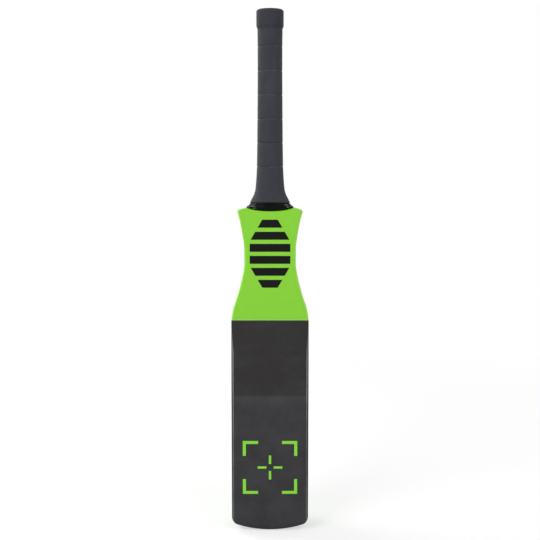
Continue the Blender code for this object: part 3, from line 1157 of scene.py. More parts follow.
@dataclass(frozen=True)
class BladeForm:
    """The blade's surfaces: its face, its two back planes, its toe and its shoulders."""

    shoulder_top: float = 0.4466
    shoulder_blend: float = 0.4250
    half_width: Curve = Curve((
        (0.000, 0.0540), (0.200, 0.0540), (0.290, 0.0536), (0.305, 0.0515), (0.323, 0.0457),
        (0.350, 0.0386), (0.370, 0.0356), (0.390, 0.0357), (0.417, 0.0393), (0.447, 0.0453)))
    edge_back: Curve = Curve((
        (0.000, 0.0046), (0.070, 0.0150), (0.155, 0.0209), (0.305, 0.0169), (0.380, 0.0134),
        (0.447, 0.0116)))
    spine: Curve = Curve((
        (0.000, 0.0230), (0.024, 0.0282), (0.078, 0.0369), (0.118, 0.0419), (0.152, 0.0434),
        (0.213, 0.0409), (0.322, 0.0341), (0.447, 0.0283)))
    spine_radius: float = 0.0011
    face_at_toe: float = -0.0159
    face_lean: float = math.tan(math.radians(1.15))
    face_lean_above: float = math.tan(math.radians(0.20))
    face_knee: float = 0.330
    face_knee_half: float = 0.025
    toe_radius: float = 0.155
    toe_blend: float = 0.070
    neck_half_width: float = 0.0334
    saddle_dip: float = 0.0046
    saddle_power: float = 2.6
    saddle_back_fall: float = 0.0054
    shoulder_fall: float = 0.32

    def face_y(self, height: float) -> float:
        """Y of the face, which leans less above its knee.

        Args:
            height: height above the toe.

        Returns:
            Y there.
        """
        knee_y = self.face_at_toe + self.face_lean * self.face_knee
        return knee_y + soft_knee(height - self.face_knee, self.face_lean, self.face_lean_above,
                                  self.face_knee_half)

    def roof_y(self, x: float, height: float) -> float:
        """Y of the back planes, which fall from a spine with a small radius to the edges.

        Args:
            x: distance from the middle.
            height: height above the toe.

        Returns:
            Y there.
        """
        spine, edge = self.spine.at(height), self.edge_back.at(height)
        half, radius = self.half_width.at(height), self.spine_radius
        slope = (spine - edge) / (math.hypot(half, radius) - radius)
        return spine - slope * (math.hypot(x, radius) - radius)

    def shoulder_z(self, x: float, y: float) -> float:
        """Top of the blade: shoulders that fall outwards and back, saddled under the neck.

        Args:
            x: distance from the middle.
            y: distance from the frame's middle plane.

        Returns:
            The height there.
        """
        beyond = max(abs(x) - self.neck_half_width, 0.0)
        within = 1 - min(abs(x) / self.neck_half_width, 1.0) ** self.saddle_power
        edge, spine = self.edge_back.at(self.shoulder_top), self.spine.at(self.shoulder_top)
        depth = clamp((y - edge) / (spine - edge))
        fall = self.shoulder_fall * beyond + self.saddle_back_fall * depth
        return self.shoulder_top - self.saddle_dip * within - fall

    def toe_rise(self, x: float) -> float:
        """How far the toe's arc has risen at a distance from its middle."""
        return self.toe_radius - math.sqrt(self.toe_radius ** 2 - x ** 2)

    def toe_share(self, height: float) -> float:
        """How much of the toe's arc a section at this height follows."""
        return clamp(1 - height / self.toe_blend)


@dataclass(frozen=True)
class HandleForm:
    """The handle's centre line, its cane and the outside of its grip."""

    foot: float = 0.4520
    length: float = 0.7124
    foot_y: float = 0.0087
    head_y: float = 0.0046
    foot_slant: float = 0.10
    slant_top: float = 0.4691
    cane_half_x: Curve = Curve((
        (0.430, 0.0235), (0.452, 0.0235), (0.460, 0.0200), (0.471, 0.0166), (0.4845, 0.0154),
        (0.505, 0.0144), (0.579, 0.0135), (0.647, 0.01305), (0.709, 0.0134)))
    cane_half_y: Curve = Curve((
        (0.430, 0.0150), (0.452, 0.0158), (0.4845, 0.0154), (0.505, 0.0144), (0.579, 0.0135),
        (0.647, 0.01305), (0.709, 0.0134)))
    grip_half_x: Curve = Curve((
        (0.450, 0.0290), (0.4575, 0.0256), (0.4642, 0.0222), (0.471, 0.0203), (0.4845, 0.0190),
        (0.505, 0.0180), (0.579, 0.0171), (0.647, 0.0167), (0.692, 0.0170)))
    grip_half_y: Curve = Curve((
        (0.450, 0.0210), (0.464, 0.0201), (0.478, 0.0191), (0.505, 0.0180), (0.579, 0.0171),
        (0.647, 0.0167), (0.692, 0.0170)))

    def centre_y(self, height: float) -> float:
        """Y of the centre line, which leans towards the face on its way up."""
        return mix(self.foot_y, self.head_y, (height - self.foot) / (self.length - self.foot))

    def slant(self, y: float, height: float) -> float:
        """How far the grip's lower rim drops towards the back, fading out above it."""
        fade = clamp(1 - (height - self.foot) / (self.slant_top - self.foot))
        return self.foot_slant * (y - self.centre_y(height)) * fade

    def grip_ring(self, height: float, depth: float, sides: int) -> Ring:
        """A ring round the grip's outside.

        Args:
            height: its height at the middle of the handle.
            depth: how far it is sunk.
            sides: how many points it has.

        Returns:
            The points.
        """
        half_x = self.grip_half_x.at(height) - depth
        half_y = self.grip_half_y.at(height) - depth
        return oval(half_x, half_y, self.centre_y(height),
                    lambda _x, y: height - self.slant(y, height), sides)

    def cane_ring(self, height: float, growth: float, sides: int,
                  level: Surface | None = None) -> Ring:
        """A ring round the cane.

        Args:
            height: where the cane's size is read.
            growth: how far the ring stands off the cane.
            sides: how many points it has.
            level: a function that gives the height of each point, where it isn't level.

        Returns:
            The points.
        """
        half_x = self.cane_half_x.at(height) + growth
        half_y = self.cane_half_y.at(height) + growth
        return oval(half_x, half_y, self.centre_y(height), level or height, sides)


class Section:
    """One cross-section of a slab: a front row and a back row, each from left to right."""

    def __init__(self, half_width: float, front: Line, back: Line, front_radius: float,
                 back_radius: float, height_at: Callable[[float, float, float], float],
                 columns: int, steps: int) -> None:
        """Lay out the section.

        Args:
            half_width: half of its width.
            front: y of the front at x.
            back: y of the back at x.
            front_radius: radius of its two front corners.
            back_radius: radius of its two back corners.
            height_at: height of a point from x, y and its share of the depth.
            columns: columns on each side of the middle.
            steps: steps round each corner.
        """
        self.columns = columns
        self.steps = steps
        near = self._row(half_width, front, front_radius, 1)
        far = self._row(half_width, back, back_radius, -1)
        self.front = [Vector((x, y, height_at(x, y, 0.0))) for x, y in near]
        self.back = [Vector((x, y, height_at(x, y, 1.0))) for x, y in far]

    def _row(self, half_width: float, line: Line, radius: float,
             inward: int) -> list[tuple[float, float]]:
        """One side's points, with its rounded corners.

        Args:
            half_width: half of the section's width.
            line: y of this side at x.
            radius: radius of its corners.
            inward: 1 if the depth goes towards +Y from here, -1 if towards -Y.

        Returns:
            (x, y) from left to right, crowded towards the middle, where the spine is.
        """
        inner = half_width - radius
        start, apex = (inner, line(inner)), (half_width, line(half_width))
        end = (half_width, line(half_width) + inward * radius)
        right = []
        for step in range(self.steps + 1):
            turn = step / self.steps
            right.append(tuple(mix(mix(first, bend, turn), mix(bend, last, turn), turn)
                               for first, bend, last in zip(start, apex, end)))
        shares = [(step / self.columns) ** SPINE_CROWDING for step in range(1, self.columns)]
        places = [-inner * share for share in reversed(shares)] + [0.0]
        places += [inner * share for share in shares]
        left = [(-x, y) for x, y in reversed(right)]
        return left + [(x, line(x)) for x in places] + right

    def across(self, index: int, rows: int) -> Ring:
        """Points from the front row to the back row at one column, both included."""
        front, back = self.front[index], self.back[index]
        return [front.lerp(back, row / (rows + 1)) for row in range(rows + 2)]

    def ring(self, rows: int) -> Ring:
        """The closed outline: front, right edge, back and left edge."""
        right, left = self.across(-1, rows)[1:-1], self.across(0, rows)[1:-1]
        return self.front + right + self.back[::-1] + left[::-1]


@dataclass(frozen=True)
class Slab:
    """A loft through sections, closed at both ends with a grid between front and back rows."""

    sections: Sequence[Section]
    rows: int
    head_height: Surface | None = None

    def fill(self, bm: bmesh.types.BMesh) -> None:
        """Add the slab to a mesh.

        Args:
            bm: the mesh in the making.
        """
        rings = [[bm.verts.new(point) for point in section.ring(self.rows)]
                 for section in self.sections]
        for lower, upper in zip(rings, rings[1:]):
            join_rings(bm, lower, upper)
        self._close(bm, self.sections[0], rings[0], None)
        self._close(bm, self.sections[-1], rings[-1], self.head_height)

    def _close(self, bm: bmesh.types.BMesh, section: Section, ring: Sequence,
               height: Surface | None) -> None:
        """Close one end.

        Args:
            bm: the mesh in the making.
            section: the section there.
            ring: its vertices.
            height: the end's height at x and y, where it isn't flat.
        """
        width = len(section.front)
        columns = []
        for index in range(width):
            column = [ring[index]]
            for row, point in enumerate(section.across(index, self.rows)[1:-1]):
                if index == 0:
                    column.append(ring[len(ring) - 1 - row])
                elif index == width - 1:
                    column.append(ring[width + row])
                else:
                    z = height(point.x, point.y) if height else point.z
                    column.append(bm.verts.new((point.x, point.y, z)))
            column.append(ring[width + self.rows + width - 1 - index])
            columns.append(column)
        for left, right in zip(columns, columns[1:]):
            for row in range(len(left) - 1):
                bm.faces.new((left[row], left[row + 1], right[row + 1], right[row]))


# Pieces


@dataclass
class Blade:
    """The painted wooden blade, with the socket for the handle's splice."""

    form: BladeForm
    handle: HandleForm
    face_radius: float = 0.0032
    back_radius: float = 0.0026
    toe_corner: float = 0.0085
    toe_edge: float = 0.0032
    shoulder_corner: float = 0.0018
    shoulder_edge: float = 0.0015
    columns: int = 26
    steps: int = 7
    rows: int = 8
    pitch: float = 0.0045
    toe_run: float = 0.0015
    shoulder_run: float = 0.0010
    sharp: float = 38.0
    socket_reach: float = 0.010
    wedge_tip: float = 0.3330
    wedge_head: float = 0.4354
    wedge_shape: tuple[tuple[float, float], ...] = (
        (0.0, 9.0), (0.5, 9.0), (0.85, 7.0), (1.0, 3.0))
    wedge_half_tip: float = 0.0030
    wedge_half_top: float = 0.0215
    wedge_front: float = 0.0115
    wedge_back: float = 0.0085
    wedge_sides: int = 26

    def _section(self, height: float, inset: float = 0.0, rise: float = 0.0, corner: float = 0.0,
                 edge: float = 0.0, upwards: int = 1) -> Section:
        """A section of the blade, drawn in where an end is rounded.

        Args:
            height: its height at the middle.
            inset: share of the rim radii by which it is drawn in.
            rise: share of the rim radii by which it is lifted.
            corner: rim radius at the sides.
            edge: rim radius at the face and the back.
            upwards: 1 at the toe, -1 at the shoulders.

        Returns:
            The section.
        """
        form = self.form
        half = form.half_width.at(height) - corner * inset
        shrink = edge * inset
        toe = form.toe_share(height)
        head = clamp((height - form.shoulder_blend) / (form.shoulder_top - form.shoulder_blend))

        def height_at(x: float, y: float, _depth: float) -> float:
            """Height of a point of the section.

            Args:
                x: distance from the middle.
                y: distance from the frame's middle plane.

            Returns:
                The height.
            """
            side = (abs(x) / half) ** CORNER_POWER
            fall = (form.shoulder_top - form.shoulder_z(x, y)) * head
            lift = rise * mix(edge, corner, side) * upwards
            return height + form.toe_rise(x) * toe - fall + lift

        def front(x: float) -> float:
            """The face."""
            return form.face_y(height + form.toe_rise(x) * toe) + shrink

        def back(x: float) -> float:
            """The back planes."""
            return form.roof_y(x, height + form.toe_rise(x) * toe) - shrink

        return Section(half, front, back, max(self.face_radius - shrink, GAP),
                       max(self.back_radius - shrink, GAP), height_at, self.columns, self.steps)

    def _slab(self) -> Slab:
        """Loft the blade from the rim of its toe to its shoulders.

        Returns:
            The loft.
        """
        form, sections = self.form, []
        for step in range(self.steps + 1):
            sections.append(self._section(0.0, *arc_step(step, self.steps), self.toe_corner,
                                          self.toe_edge))
        low = self.toe_corner + self.toe_run
        high = form.shoulder_top - self.shoulder_corner - self.shoulder_run
        count = round((high - low) / self.pitch)
        sections += [self._section(mix(low, high, step / count)) for step in range(count + 1)]
        for step in reversed(range(self.steps + 1)):
            sections.append(self._section(form.shoulder_top, *arc_step(step, self.steps),
                                          self.shoulder_corner, self.shoulder_edge, -1))
        return Slab(sections, self.rows, form.shoulder_z)

    def _socket_rings(self) -> list[Ring]:
        """Lay out the socket, from its tip to above the shoulders.

        Returns:
            Its rings.
        """
        rings = []
        half_y = (self.wedge_front + self.wedge_back) / 2 + GAP
        for share, squareness in self.wedge_shape:
            height = mix(self.wedge_tip, self.wedge_head, share)
            half_x = mix(self.wedge_half_tip, self.wedge_half_top, share) + GAP
            centre = self.handle.centre_y(height) + (self.wedge_back - self.wedge_front) / 2
            level = height - GAP if share == 0 else height
            rings.append(oval(half_x, half_y, centre, level, self.wedge_sides, squareness))
        head = self.form.shoulder_top + self.socket_reach
        rings.append(oval(half_x, half_y, centre, head, self.wedge_sides, squareness))
        return rings

    def build(self, paint: Material) -> Piece:
        """Build and dress the blade.

        Args:
            paint: its finish.

        Returns:
            The blade.
        """
        blade = piece_from("painted_blade", self._slab().fill, self.sharp)
        cutter = piece_from("socket_cutter", rod(self._socket_rings()))
        cut = blade.modifiers.new("Socket", "BOOLEAN")
        cut.operation, cut.solver, cut.object = "DIFFERENCE", "EXACT", cutter
        evaluated = blade.evaluated_get(bpy.context.evaluated_depsgraph_get())
        solid = bpy.data.meshes.new_from_object(evaluated)
        blade.modifiers.clear()
        blade.data = solid
        bpy.data.objects.remove(cutter, do_unlink=True)
        smooth(solid, self.sharp)
        return dress(blade, paint, "blade_paint", "blade")


@dataclass
class FoamPad:
    """The moulded foam pad: thick over the toe half, ramped away to a thin upper edge."""

    form: BladeForm
    top: float = PAD_TOP
    thickness: float = 0.0264
    bends: tuple[tuple[float, float, float], ...] = (
        (0.1915, -0.255, 0.010), (0.2620, -0.370, 0.008), (0.2835, -0.010, 0.004))
    side_inset: float = 0.0010
    edge_radius: float = 0.0060
    toe_corner: float = 0.0085
    toe_radius: float = 0.0070
    glue: float = 0.0004
    lip_gap: float = 0.00015
    lip_from: float = 0.92
    crown: float = 0.0007
    head_lip: float = 0.0020
    head_edge: float = 0.0006
    columns: int = 18
    steps: int = 8
    rows: int = 10
    pitch: float = 0.004
    toe_run: float = 0.0015

    def depth(self, height: float) -> float:
        """Foam thickness: full over the toe half, then down a ramp that steepens.

        Each bend is a height, the slope above it and half of the length over which it turns.

        Args:
            height: height above the toe.

        Returns:
            The thickness there.
        """
        depth, slope = self.thickness, 0.0
        for knee, after, half_length in self.bends:
            depth += soft_knee(height - knee, 0.0, after - slope, half_length)
            slope = after
        return depth

    def half_at(self, height: float) -> float:
        """Half of the pad's width, which meets the blade's edge where the pad is thin."""
        fullness = self.depth(height) / self.thickness
        return self.form.half_width.at(height) - self.side_inset * fullness

    def front_y(self, x: float, height: float) -> float:
        """Y of the pad's front, which is crowned by a little from side to side.

        Args:
            x: distance from the middle.
            height: height above the toe.

        Returns:
            Y there.
        """
        depth = self.depth(height)
        fall = self.crown * depth / self.thickness * (x / self.half_at(height)) ** CORNER_POWER
        return self.form.face_y(height) - 2 * GAP - self.glue - depth + fall

    def _section(self, height: float, inset: float = 0.0, rise: float = 0.0) -> Section:
        """A section of the pad, drawn in where the toe end is rounded.

        Args:
            height: its height at the middle.
            inset: share of the rim radii by which it is drawn in.
            rise: share of the rim radii by which it is lifted.

        Returns:
            The section.
        """
        form = self.form
        half = self.half_at(height) - self.toe_corner * inset
        toe = form.toe_share(height)
        shrink = self.toe_radius * inset
        radius = max(min(self.edge_radius, 0.5 * self.depth(height)) - shrink, GAP / 2)

        def level(x: float) -> float:
            """Height of the section along the toe's arc."""
            return height + form.toe_rise(x) * toe

        def height_at(x: float, _y: float, depth: float) -> float:
            """Height of a point of the section."""
            side = (abs(x) / half) ** CORNER_POWER
            return level(x) + rise * mix(mix(self.toe_radius, 0.0, depth), self.toe_corner, side)

        def front(x: float) -> float:
            """The pad's front."""
            return self.front_y(x, level(x)) + shrink

        def back(x: float) -> float:
            """The pad's back, on the bonding sheet, with a lip round it that closes on the blade.

            Args:
                x: distance from the middle.

            Returns:
                Y there.
            """
            past_lip = level(x) - self.top + self.head_lip
            at_side = clamp((abs(x) / half - self.lip_from) / (1 - self.lip_from))
            at_head = clamp(past_lip / (self.head_lip - self.head_edge))
            off = mix(2 * GAP + self.glue, self.lip_gap, max(at_side, at_head))
            return form.face_y(level(x)) - off

        return Section(half, front, back, radius, GAP / 2, height_at, self.columns, self.steps)

    def build(self, foam: Material) -> Piece:
        """Args:
            foam: its finish.

        Returns:
            The pad.
        """
        sections = [self._section(0.0, *arc_step(step, self.steps))
                    for step in range(self.steps + 1)]
        low = self.toe_corner + self.toe_run
        count = round((self.top - low) / self.pitch)
        sections += [self._section(mix(low, self.top, step / count)) for step in range(count)]
        sections += [self._section(self.top - drop)
                     for drop in (self.head_lip, self.head_edge, 0.0)]
        pad = piece_from("foam_face_pad", Slab(sections, self.rows).fill)
        dress(pad, foam, "pad_foam", "pad_foam")
        return pad


@dataclass
class Grip:
    """The rubber sleeve, flared at its foot and ringed with shallow grooves."""

    form: HandleForm
    head: float = GRIP_HEAD - GAP
    binding_foot: float = 0.4560
    binding: float = 0.0008
    foot_round: float = 0.0012
    groove_depth: float = 0.0006
    flare_depth: float = 0.0002
    groove_half: float = 0.0010
    sides: int = 112
    steps: int = 6
    flare_steps: int = 9
    groove_steps: int = 4
    land_steps: int = 7
    bore_steps: int = 40
    sharp: float = 50.0

    def _groove(self, middle: float, deepest: float) -> list[tuple[float, float]]:
        """One groove with soft walls.

        Args:
            middle: height of its middle.
            deepest: its depth there.

        Returns:
            Height and depth of each ring in it.
        """
        rings = []
        for step in range(-self.groove_steps, self.groove_steps + 1):
            share = step / self.groove_steps
            depth = deepest * 0.5 * (1 + math.cos(math.pi * share))
            rings.append((middle + self.groove_half * share, depth))
        return rings

    def _stations(self) -> list[tuple[float, float]]:
        """Lay out the outside, from the rounded foot over the flare and the grooves to the head.

        Returns:
            Height and depth of each ring up it.
        """
        stations = []
        for step in range(self.steps + 1):
            inset, rise = arc_step(step, self.steps)
            stations.append((self.form.foot + self.foot_round * rise, self.foot_round * inset))
        start, end = stations[-1][0], FIRST_GROOVE - self.groove_half
        stations += [(mix(start, end, step / self.flare_steps), 0.0)
                     for step in range(1, self.flare_steps)]
        for index in range(GROOVES):
            middle = FIRST_GROOVE + GROOVE_PITCH * index
            stations += self._groove(middle, self.groove_depth if index else self.flare_depth)
            start = middle + self.groove_half
            end = min(middle + GROOVE_PITCH - self.groove_half, self.head)
            stations += [(mix(start, end, step / self.land_steps), 0.0)
                         for step in range(1, self.land_steps)]
        stations.append((self.head, 0.0))
        return stations

    def build(self, rubber: Material) -> Piece:
        """Build and dress the grip.

        Args:
            rubber: its finish.

        Returns:
            The grip.
        """
        form = self.form
        outer = [form.grip_ring(height, depth, self.sides) for height, depth in self._stations()]
        clearance = 2 * GAP + self.binding
        heights = [mix(self.head, self.binding_foot, step / self.bore_steps)
                   for step in range(self.bore_steps + 1)]
        inner = [form.cane_ring(height, clearance, self.sides) for height in heights]
        inner.append(form.cane_ring(form.foot, clearance, self.sides,
                                    lambda _x, y: form.foot - form.slant(y, form.foot)))
        grip = piece_from("ringed_grip", sleeve(outer, inner), self.sharp)
        return dress(grip, rubber, "grip_rubber", "grip_sleeve")


@dataclass
class Collar:
    """The thick rubber band over the upper end of the grip."""

    form: HandleForm
    foot: float = 0.6879
    seat: float = GRIP_HEAD + GAP
    radius: float = 0.0185
    rounding: float = 0.0035
    mouth: float = 0.0120
    ease: float = 0.0010
    taper: float = 0.0034
    lip: float = 0.0004
    sides: int = 112
    steps: int = 9
    mouth_steps: int = 4
    sharp: float = 50.0

    def _profile(self) -> list[tuple[float, float]]:
        """Lay out the band's wall: its tapered foot, outside, rounded head, mouth and seat.

        Returns:
            Radius and height of each ring round it.
        """
        length = self.form.length
        bore = self.form.grip_half_x.at(length) + GAP
        points = [(bore, self.foot)]
        for step in range(self.steps):
            share = step / (self.steps - 1)
            swell = share ** 2 * (3 - 2 * share)
            radius = mix(bore + self.lip, self.radius, swell)
            points.append((radius, self.foot + self.taper * share))
        points.append((self.radius, mix(self.foot, length, 0.5)))
        for step in reversed(range(self.steps + 1)):
            inset, rise = arc_step(step, self.steps)
            points.append((self.radius - self.rounding * inset, length - self.rounding * rise))
        for step in range(self.mouth_steps + 1):
            inset, rise = arc_step(step, self.mouth_steps)
            points.append((self.mouth + self.ease * inset, length - self.ease * rise))
        return points + [(self.mouth, self.seat), (bore, self.seat)]

    def build(self, rubber: Material) -> Piece:
        """Build and dress the collar.

        Args:
            rubber: its finish.

        Returns:
            The collar.
        """
        rings = [oval(radius, radius, self.form.centre_y(height), height, self.sides)
                 for radius, height in self._profile()]
        collar = piece_from("grip_top_collar", sleeve(rings, []), self.sharp)
        return dress(collar, rubber, "collar_rubber", "grip_collar")


@dataclass
class NeckBand:
    """The gloss tape that closes the neck between the grip and the blade."""

    blade: BladeForm
    handle: HandleForm
    half_y_foot: float = 0.0189
    centre_foot: float = 0.0100
    half_x_head: float = 0.0283
    half_y_head: float = 0.0206
    centre_head: float = 0.0091
    step_in: float = 0.0005
    step_shares: tuple[float, float, float] = (0.50, 0.52, 0.55)
    foot_shares: Span = (0.03, 0.08)
    head_share: float = 0.94
    ease: float = 0.0006
    sides: int = 112
    foot_steps: int = 5
    head_steps: int = 6
    sharp: float = 55.0

    def _ring(self, share: float, sunk: float = 0.0, bore: bool = False) -> Ring:
        """A ring of the band.

        Args:
            share: 0 at the saddle, 1 at the grip's rim.
            sunk: how far it is drawn in.
            bore: make it a ring of the inside, round the cane.

        Returns:
            The points.
        """
        half_x = mix(self.blade.neck_half_width, self.half_x_head, share) - sunk
        half_y = mix(self.half_y_foot, self.half_y_head, share) - sunk
        centre = mix(self.centre_foot, self.centre_head, share)
        if bore:
            half_x = self.handle.cane_half_x.at(self.blade.shoulder_top) + GAP
            half_y = self.handle.cane_half_y.at(self.handle.foot) + GAP
            centre = self.handle.centre_y(self.handle.foot)

        def level(x: float, y: float) -> float:
            """Height of a point between the saddle and the grip's rim."""
            head = self.handle.foot - self.handle.slant(y, self.handle.foot) - GAP
            return mix(self.blade.shoulder_z(x, y) + GAP, head, share)

        return oval(half_x, half_y, centre, level, self.sides)

    def _outside(self) -> list[Ring]:
        """Lay out the outside, where the lower turn of tape overlaps the upper one.

        Returns:
            Its rings.
        """
        rounded, straight = self.foot_shares
        before, step_at, after = self.step_shares
        places = [(0.0, self.ease), (rounded, self.ease / 3), (straight, 0.0)]
        places += [(mix(straight, before, step / self.foot_steps), 0.0)
                   for step in range(1, self.foot_steps + 1)]
        places += [(step_at, self.step_in / 3), (after, self.step_in)]
        places += [(mix(after, self.head_share, step / self.head_steps), self.step_in)
                   for step in range(1, self.head_steps + 1)]
        places.append((1.0, self.step_in + self.ease))
        return [self._ring(share, sunk) for share, sunk in places]

    def build(self, tape: Material) -> Piece:
        """Build and dress the band.

        Args:
            tape: its finish.

        Returns:
            The band.
        """
        inner = [self._ring(share, bore=True) for share in (1.0, 0.5, 0.0)]
        band = piece_from("neck_tape_band", sleeve(self._outside(), inner), self.sharp)
        return dress(band, tape, "neck_band", "shoulder_band")


class Side(Enum):
    """The side of the bat that a mark is printed on, as the sign of its outward Y."""

    FACE = -1
    BACK = 1


@dataclass
class Marks:
    """Plain printed marks: hatched panels on the face and back, a sight frame on the pad."""

    blade: BladeForm
    pad: FoamPad
    film: float = 0.00008
    face_middle: float = 0.3835
    face_half_height: float = 0.0470
    face_half_width: float = 0.0280
    face_straight: float = 0.36
    face_taper: float = 0.62
    face_bars: int = 6
    face_bar_share: float = 0.66
    back_middle: float = 0.1380
    back_half_height: float = 0.0560
    back_half_width: float = 0.0300
    back_taper: float = 0.70
    back_bars: int = 7
    back_bar_share: float = 0.60
    bar_rows: int = 4
    bar_columns: int = 16
    bar_crowding: float = 1.5
    sight_z: float = 0.0906
    sight_half: float = 0.0375
    arm: float = 0.0210
    arm_width: float = 0.0042
    arm_rows: int = 3
    arm_steps: int = 8
    tick_inner: float = 0.0050
    tick_outer: float = 0.0170
    tick_half: float = 0.0016
    sharp: float = 60.0

    def _film(self, name: str, grids: Sequence[Grid], surface: Surface, side: Side) -> Piece:
        """Thin printed patches that lie on a surface.

        Args:
            name: the piece's name.
            grids: each patch as rows of (x, z) points.
            surface: y of the surface at (x, z).
            side: which way it looks.

        Returns:
            The piece.
        """
        def fill(bm: bmesh.types.BMesh) -> None:
            """Add every patch with its rim.

            Args:
                bm: the mesh in the making.
            """
            for grid in grids:
                skins = []
                for off in (side.value * self.film, -side.value * self.film):
                    skins.append([[bm.verts.new((x, surface(x, z) + off, z)) for x, z in row]
                                  for row in grid])
                for skin in skins:
                    for low, high in zip(skin, skin[1:]):
                        for left in range(len(low) - 1):
                            right = left + 1
                            bm.faces.new((low[left], low[right], high[right], high[left]))
                near, far = [self._rim(skin) for skin in skins]
                join_rings(bm, near, far)
        return piece_from(name, fill, self.sharp)

    @staticmethod
    def _rim(skin: Sequence[Sequence[bmesh.types.BMVert]]) -> list[bmesh.types.BMVert]:
        """Go round a grid.

        Args:
            skin: the grid's rows of vertices.

        Returns:
            The vertices of its rim, in order.
        """
        right = [row[-1] for row in skin[1:-1]]
        left = [row[0] for row in skin[1:-1]]
        return [*skin[0], *right, *reversed(skin[-1]), *reversed(left)]

    def _bars(self, middle: float, half_height: float, count: int, share: float,
              half_at: Line) -> list[Grid]:
        """Level bars whose ends follow an outline.

        Args:
            middle: height of the panel's middle.
            half_height: half of the panel's height.
            count: how many bars.
            share: how much of the pitch a bar takes.
            half_at: half width of the outline at -1 to 1 of the half height.

        Returns:
            A grid of points for each bar.
        """
        pitch = 2 * half_height / (count - 1 + share)
        steps = range(-self.bar_columns, self.bar_columns + 1)
        places = [math.copysign(abs(step / self.bar_columns) ** self.bar_crowding, step)
                  for step in steps]
        bars = []
        for index in range(count):
            low = -half_height + pitch * index
            grid = []
            for row in range(self.bar_rows + 1):
                off = low + pitch * share * row / self.bar_rows
                half = half_at(off / half_height)
                grid.append([(half * place, middle + off) for place in places])
            bars.append(grid)
        return bars

    def face_panel(self, ink: Material) -> Piece:
        """The hatched hexagon on the face.

        Args:
            ink: its finish.

        Returns:
            The piece.
        """
        def half_at(off: float) -> float:
            """A tall hexagon."""
            beyond = clamp((abs(off) - self.face_straight) / (1 - self.face_straight))
            return self.face_half_width * (1 - self.face_taper * beyond)

        bars = self._bars(self.face_middle, self.face_half_height, self.face_bars,
                          self.face_bar_share, half_at)
        panel = self._film("face_hatched_panel", bars, lambda _x, z: self.blade.face_y(z),
                           Side.FACE)
        return dress(panel, ink, "blade_paint")

    def back_panel(self, ink: Material) -> Piece:
        """The hatched lozenge over the spine.

        Args:
            ink: its finish.

        Returns:
            The piece.
        """
        def half_at(off: float) -> float:
            """A tall lozenge with cut ends."""
            return self.back_half_width * (1 - self.back_taper * abs(off))

        bars = self._bars(self.back_middle, self.back_half_height, self.back_bars,
                          self.back_bar_share, half_at)
        panel = self._film("back_hatched_panel", bars, self.blade.roof_y, Side.BACK)
        return dress(panel, ink, "blade_paint")

    def _bracket(self, right: int, up: int) -> Grid:
        """One corner of the sight frame, as a bent strip.

        Args:
            right: 1 for a corner on the right, -1 for one on the left.
            up: 1 for an upper corner, -1 for a lower one.

        Returns:
            Its rows, from the outer side of the bend to the inner one.
        """
        grid, reach = [], self.sight_half - self.arm
        for row in range(self.arm_rows + 1):
            side = self.sight_half - self.arm_width * row / self.arm_rows
            along = [mix(reach, side, step / self.arm_steps) for step in range(self.arm_steps + 1)]
            points = [(x, side) for x in along] + [(side, z) for z in reversed(along[:-1])]
            grid.append([(right * x, self.sight_z + up * z) for x, z in points])
        return grid

    def _tick(self, angle: float) -> Grid:
        """A short bar that points at the frame's middle.

        Args:
            angle: its direction, turned from straight up.

        Returns:
            Its rows, from side to side.
        """
        sin, cos = math.sin(angle), math.cos(angle)
        reaches = (self.tick_inner, mix(self.tick_inner, self.tick_outer, 0.5), self.tick_outer)
        return [[(sin * reach + cos * side, self.sight_z + cos * reach - sin * side)
                 for reach in reaches] for side in (-self.tick_half, 0.0, self.tick_half)]

    def pad_sight(self, ink: Material) -> Piece:
        """The sight frame on the pad: four corner brackets round an open cross.

        Args:
            ink: its finish.

        Returns:
            The piece.
        """
        grids = [self._bracket(right, up) for right in (-1, 1) for up in (-1, 1)]
        grids += [self._tick(math.pi / 2 * quarter) for quarter in range(4)]
        sight = self._film("pad_sight_frame", grids, self.pad.front_y, Side.FACE)
        return dress(sight, ink, "pad_foam")


@dataclass
class HiddenParts:
    """The solids of the frame that keep their own shape and get a finish."""

    canes: tuple[str, ...] = ("cane_core", "cane_face", "cane_back")
    springs: tuple[str, ...] = ("spring_face", "spring_back")
    windings: tuple[str, ...] = ("twine_binding",)
    sheets: tuple[str, ...] = ("pad_adhesive",)
    rubber: PlainSheet = PlainSheet("spring_rubber", srgb(40, 38, 38), srgb(30, 28, 28), 0.65)
    glue: PlainSheet = PlainSheet("bonding_sheet", srgb(206, 203, 190), srgb(180, 176, 160), 0.45)

    def build(self) -> list[str]:
        """Give each solid its finish.

        Returns:
            The names of the dressed solids.
        """
        dressed = []
        for names, finish in ((self.canes, Cane()), (self.springs, self.rubber),
                              (self.windings, Twine()), (self.sheets, self.glue)):
            material = finish.make()
            for name in names:
                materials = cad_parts[name].data.materials
                materials.clear()
                materials.append(material)
                dressed.append(name)
        return dressed


# Studio


@dataclass(frozen=True)
class SoftBox:
    """A soft lamp that looks at one point."""

    name: str
    place: tuple[float, float, float]
    size: tuple[float, float]
    power: float
    target: tuple[float, float, float] = (0.0, 0.0, 0.34)

    def build(self) -> None:
        """Hang the lamp and turn it towards its target."""
        lamp = bpy.data.lights.new(self.name, "AREA")
        lamp.shape = "RECTANGLE"
        lamp.size, lamp.size_y = self.size
        lamp.energy = self.power
        holder = bpy.data.objects.new(self.name, lamp)
        holder.location = self.place
        aim = Vector(self.target) - Vector(self.place)
        holder.rotation_euler = aim.to_track_quat("-Z", "Y").to_euler()
        bpy.context.scene.collection.objects.link(holder)


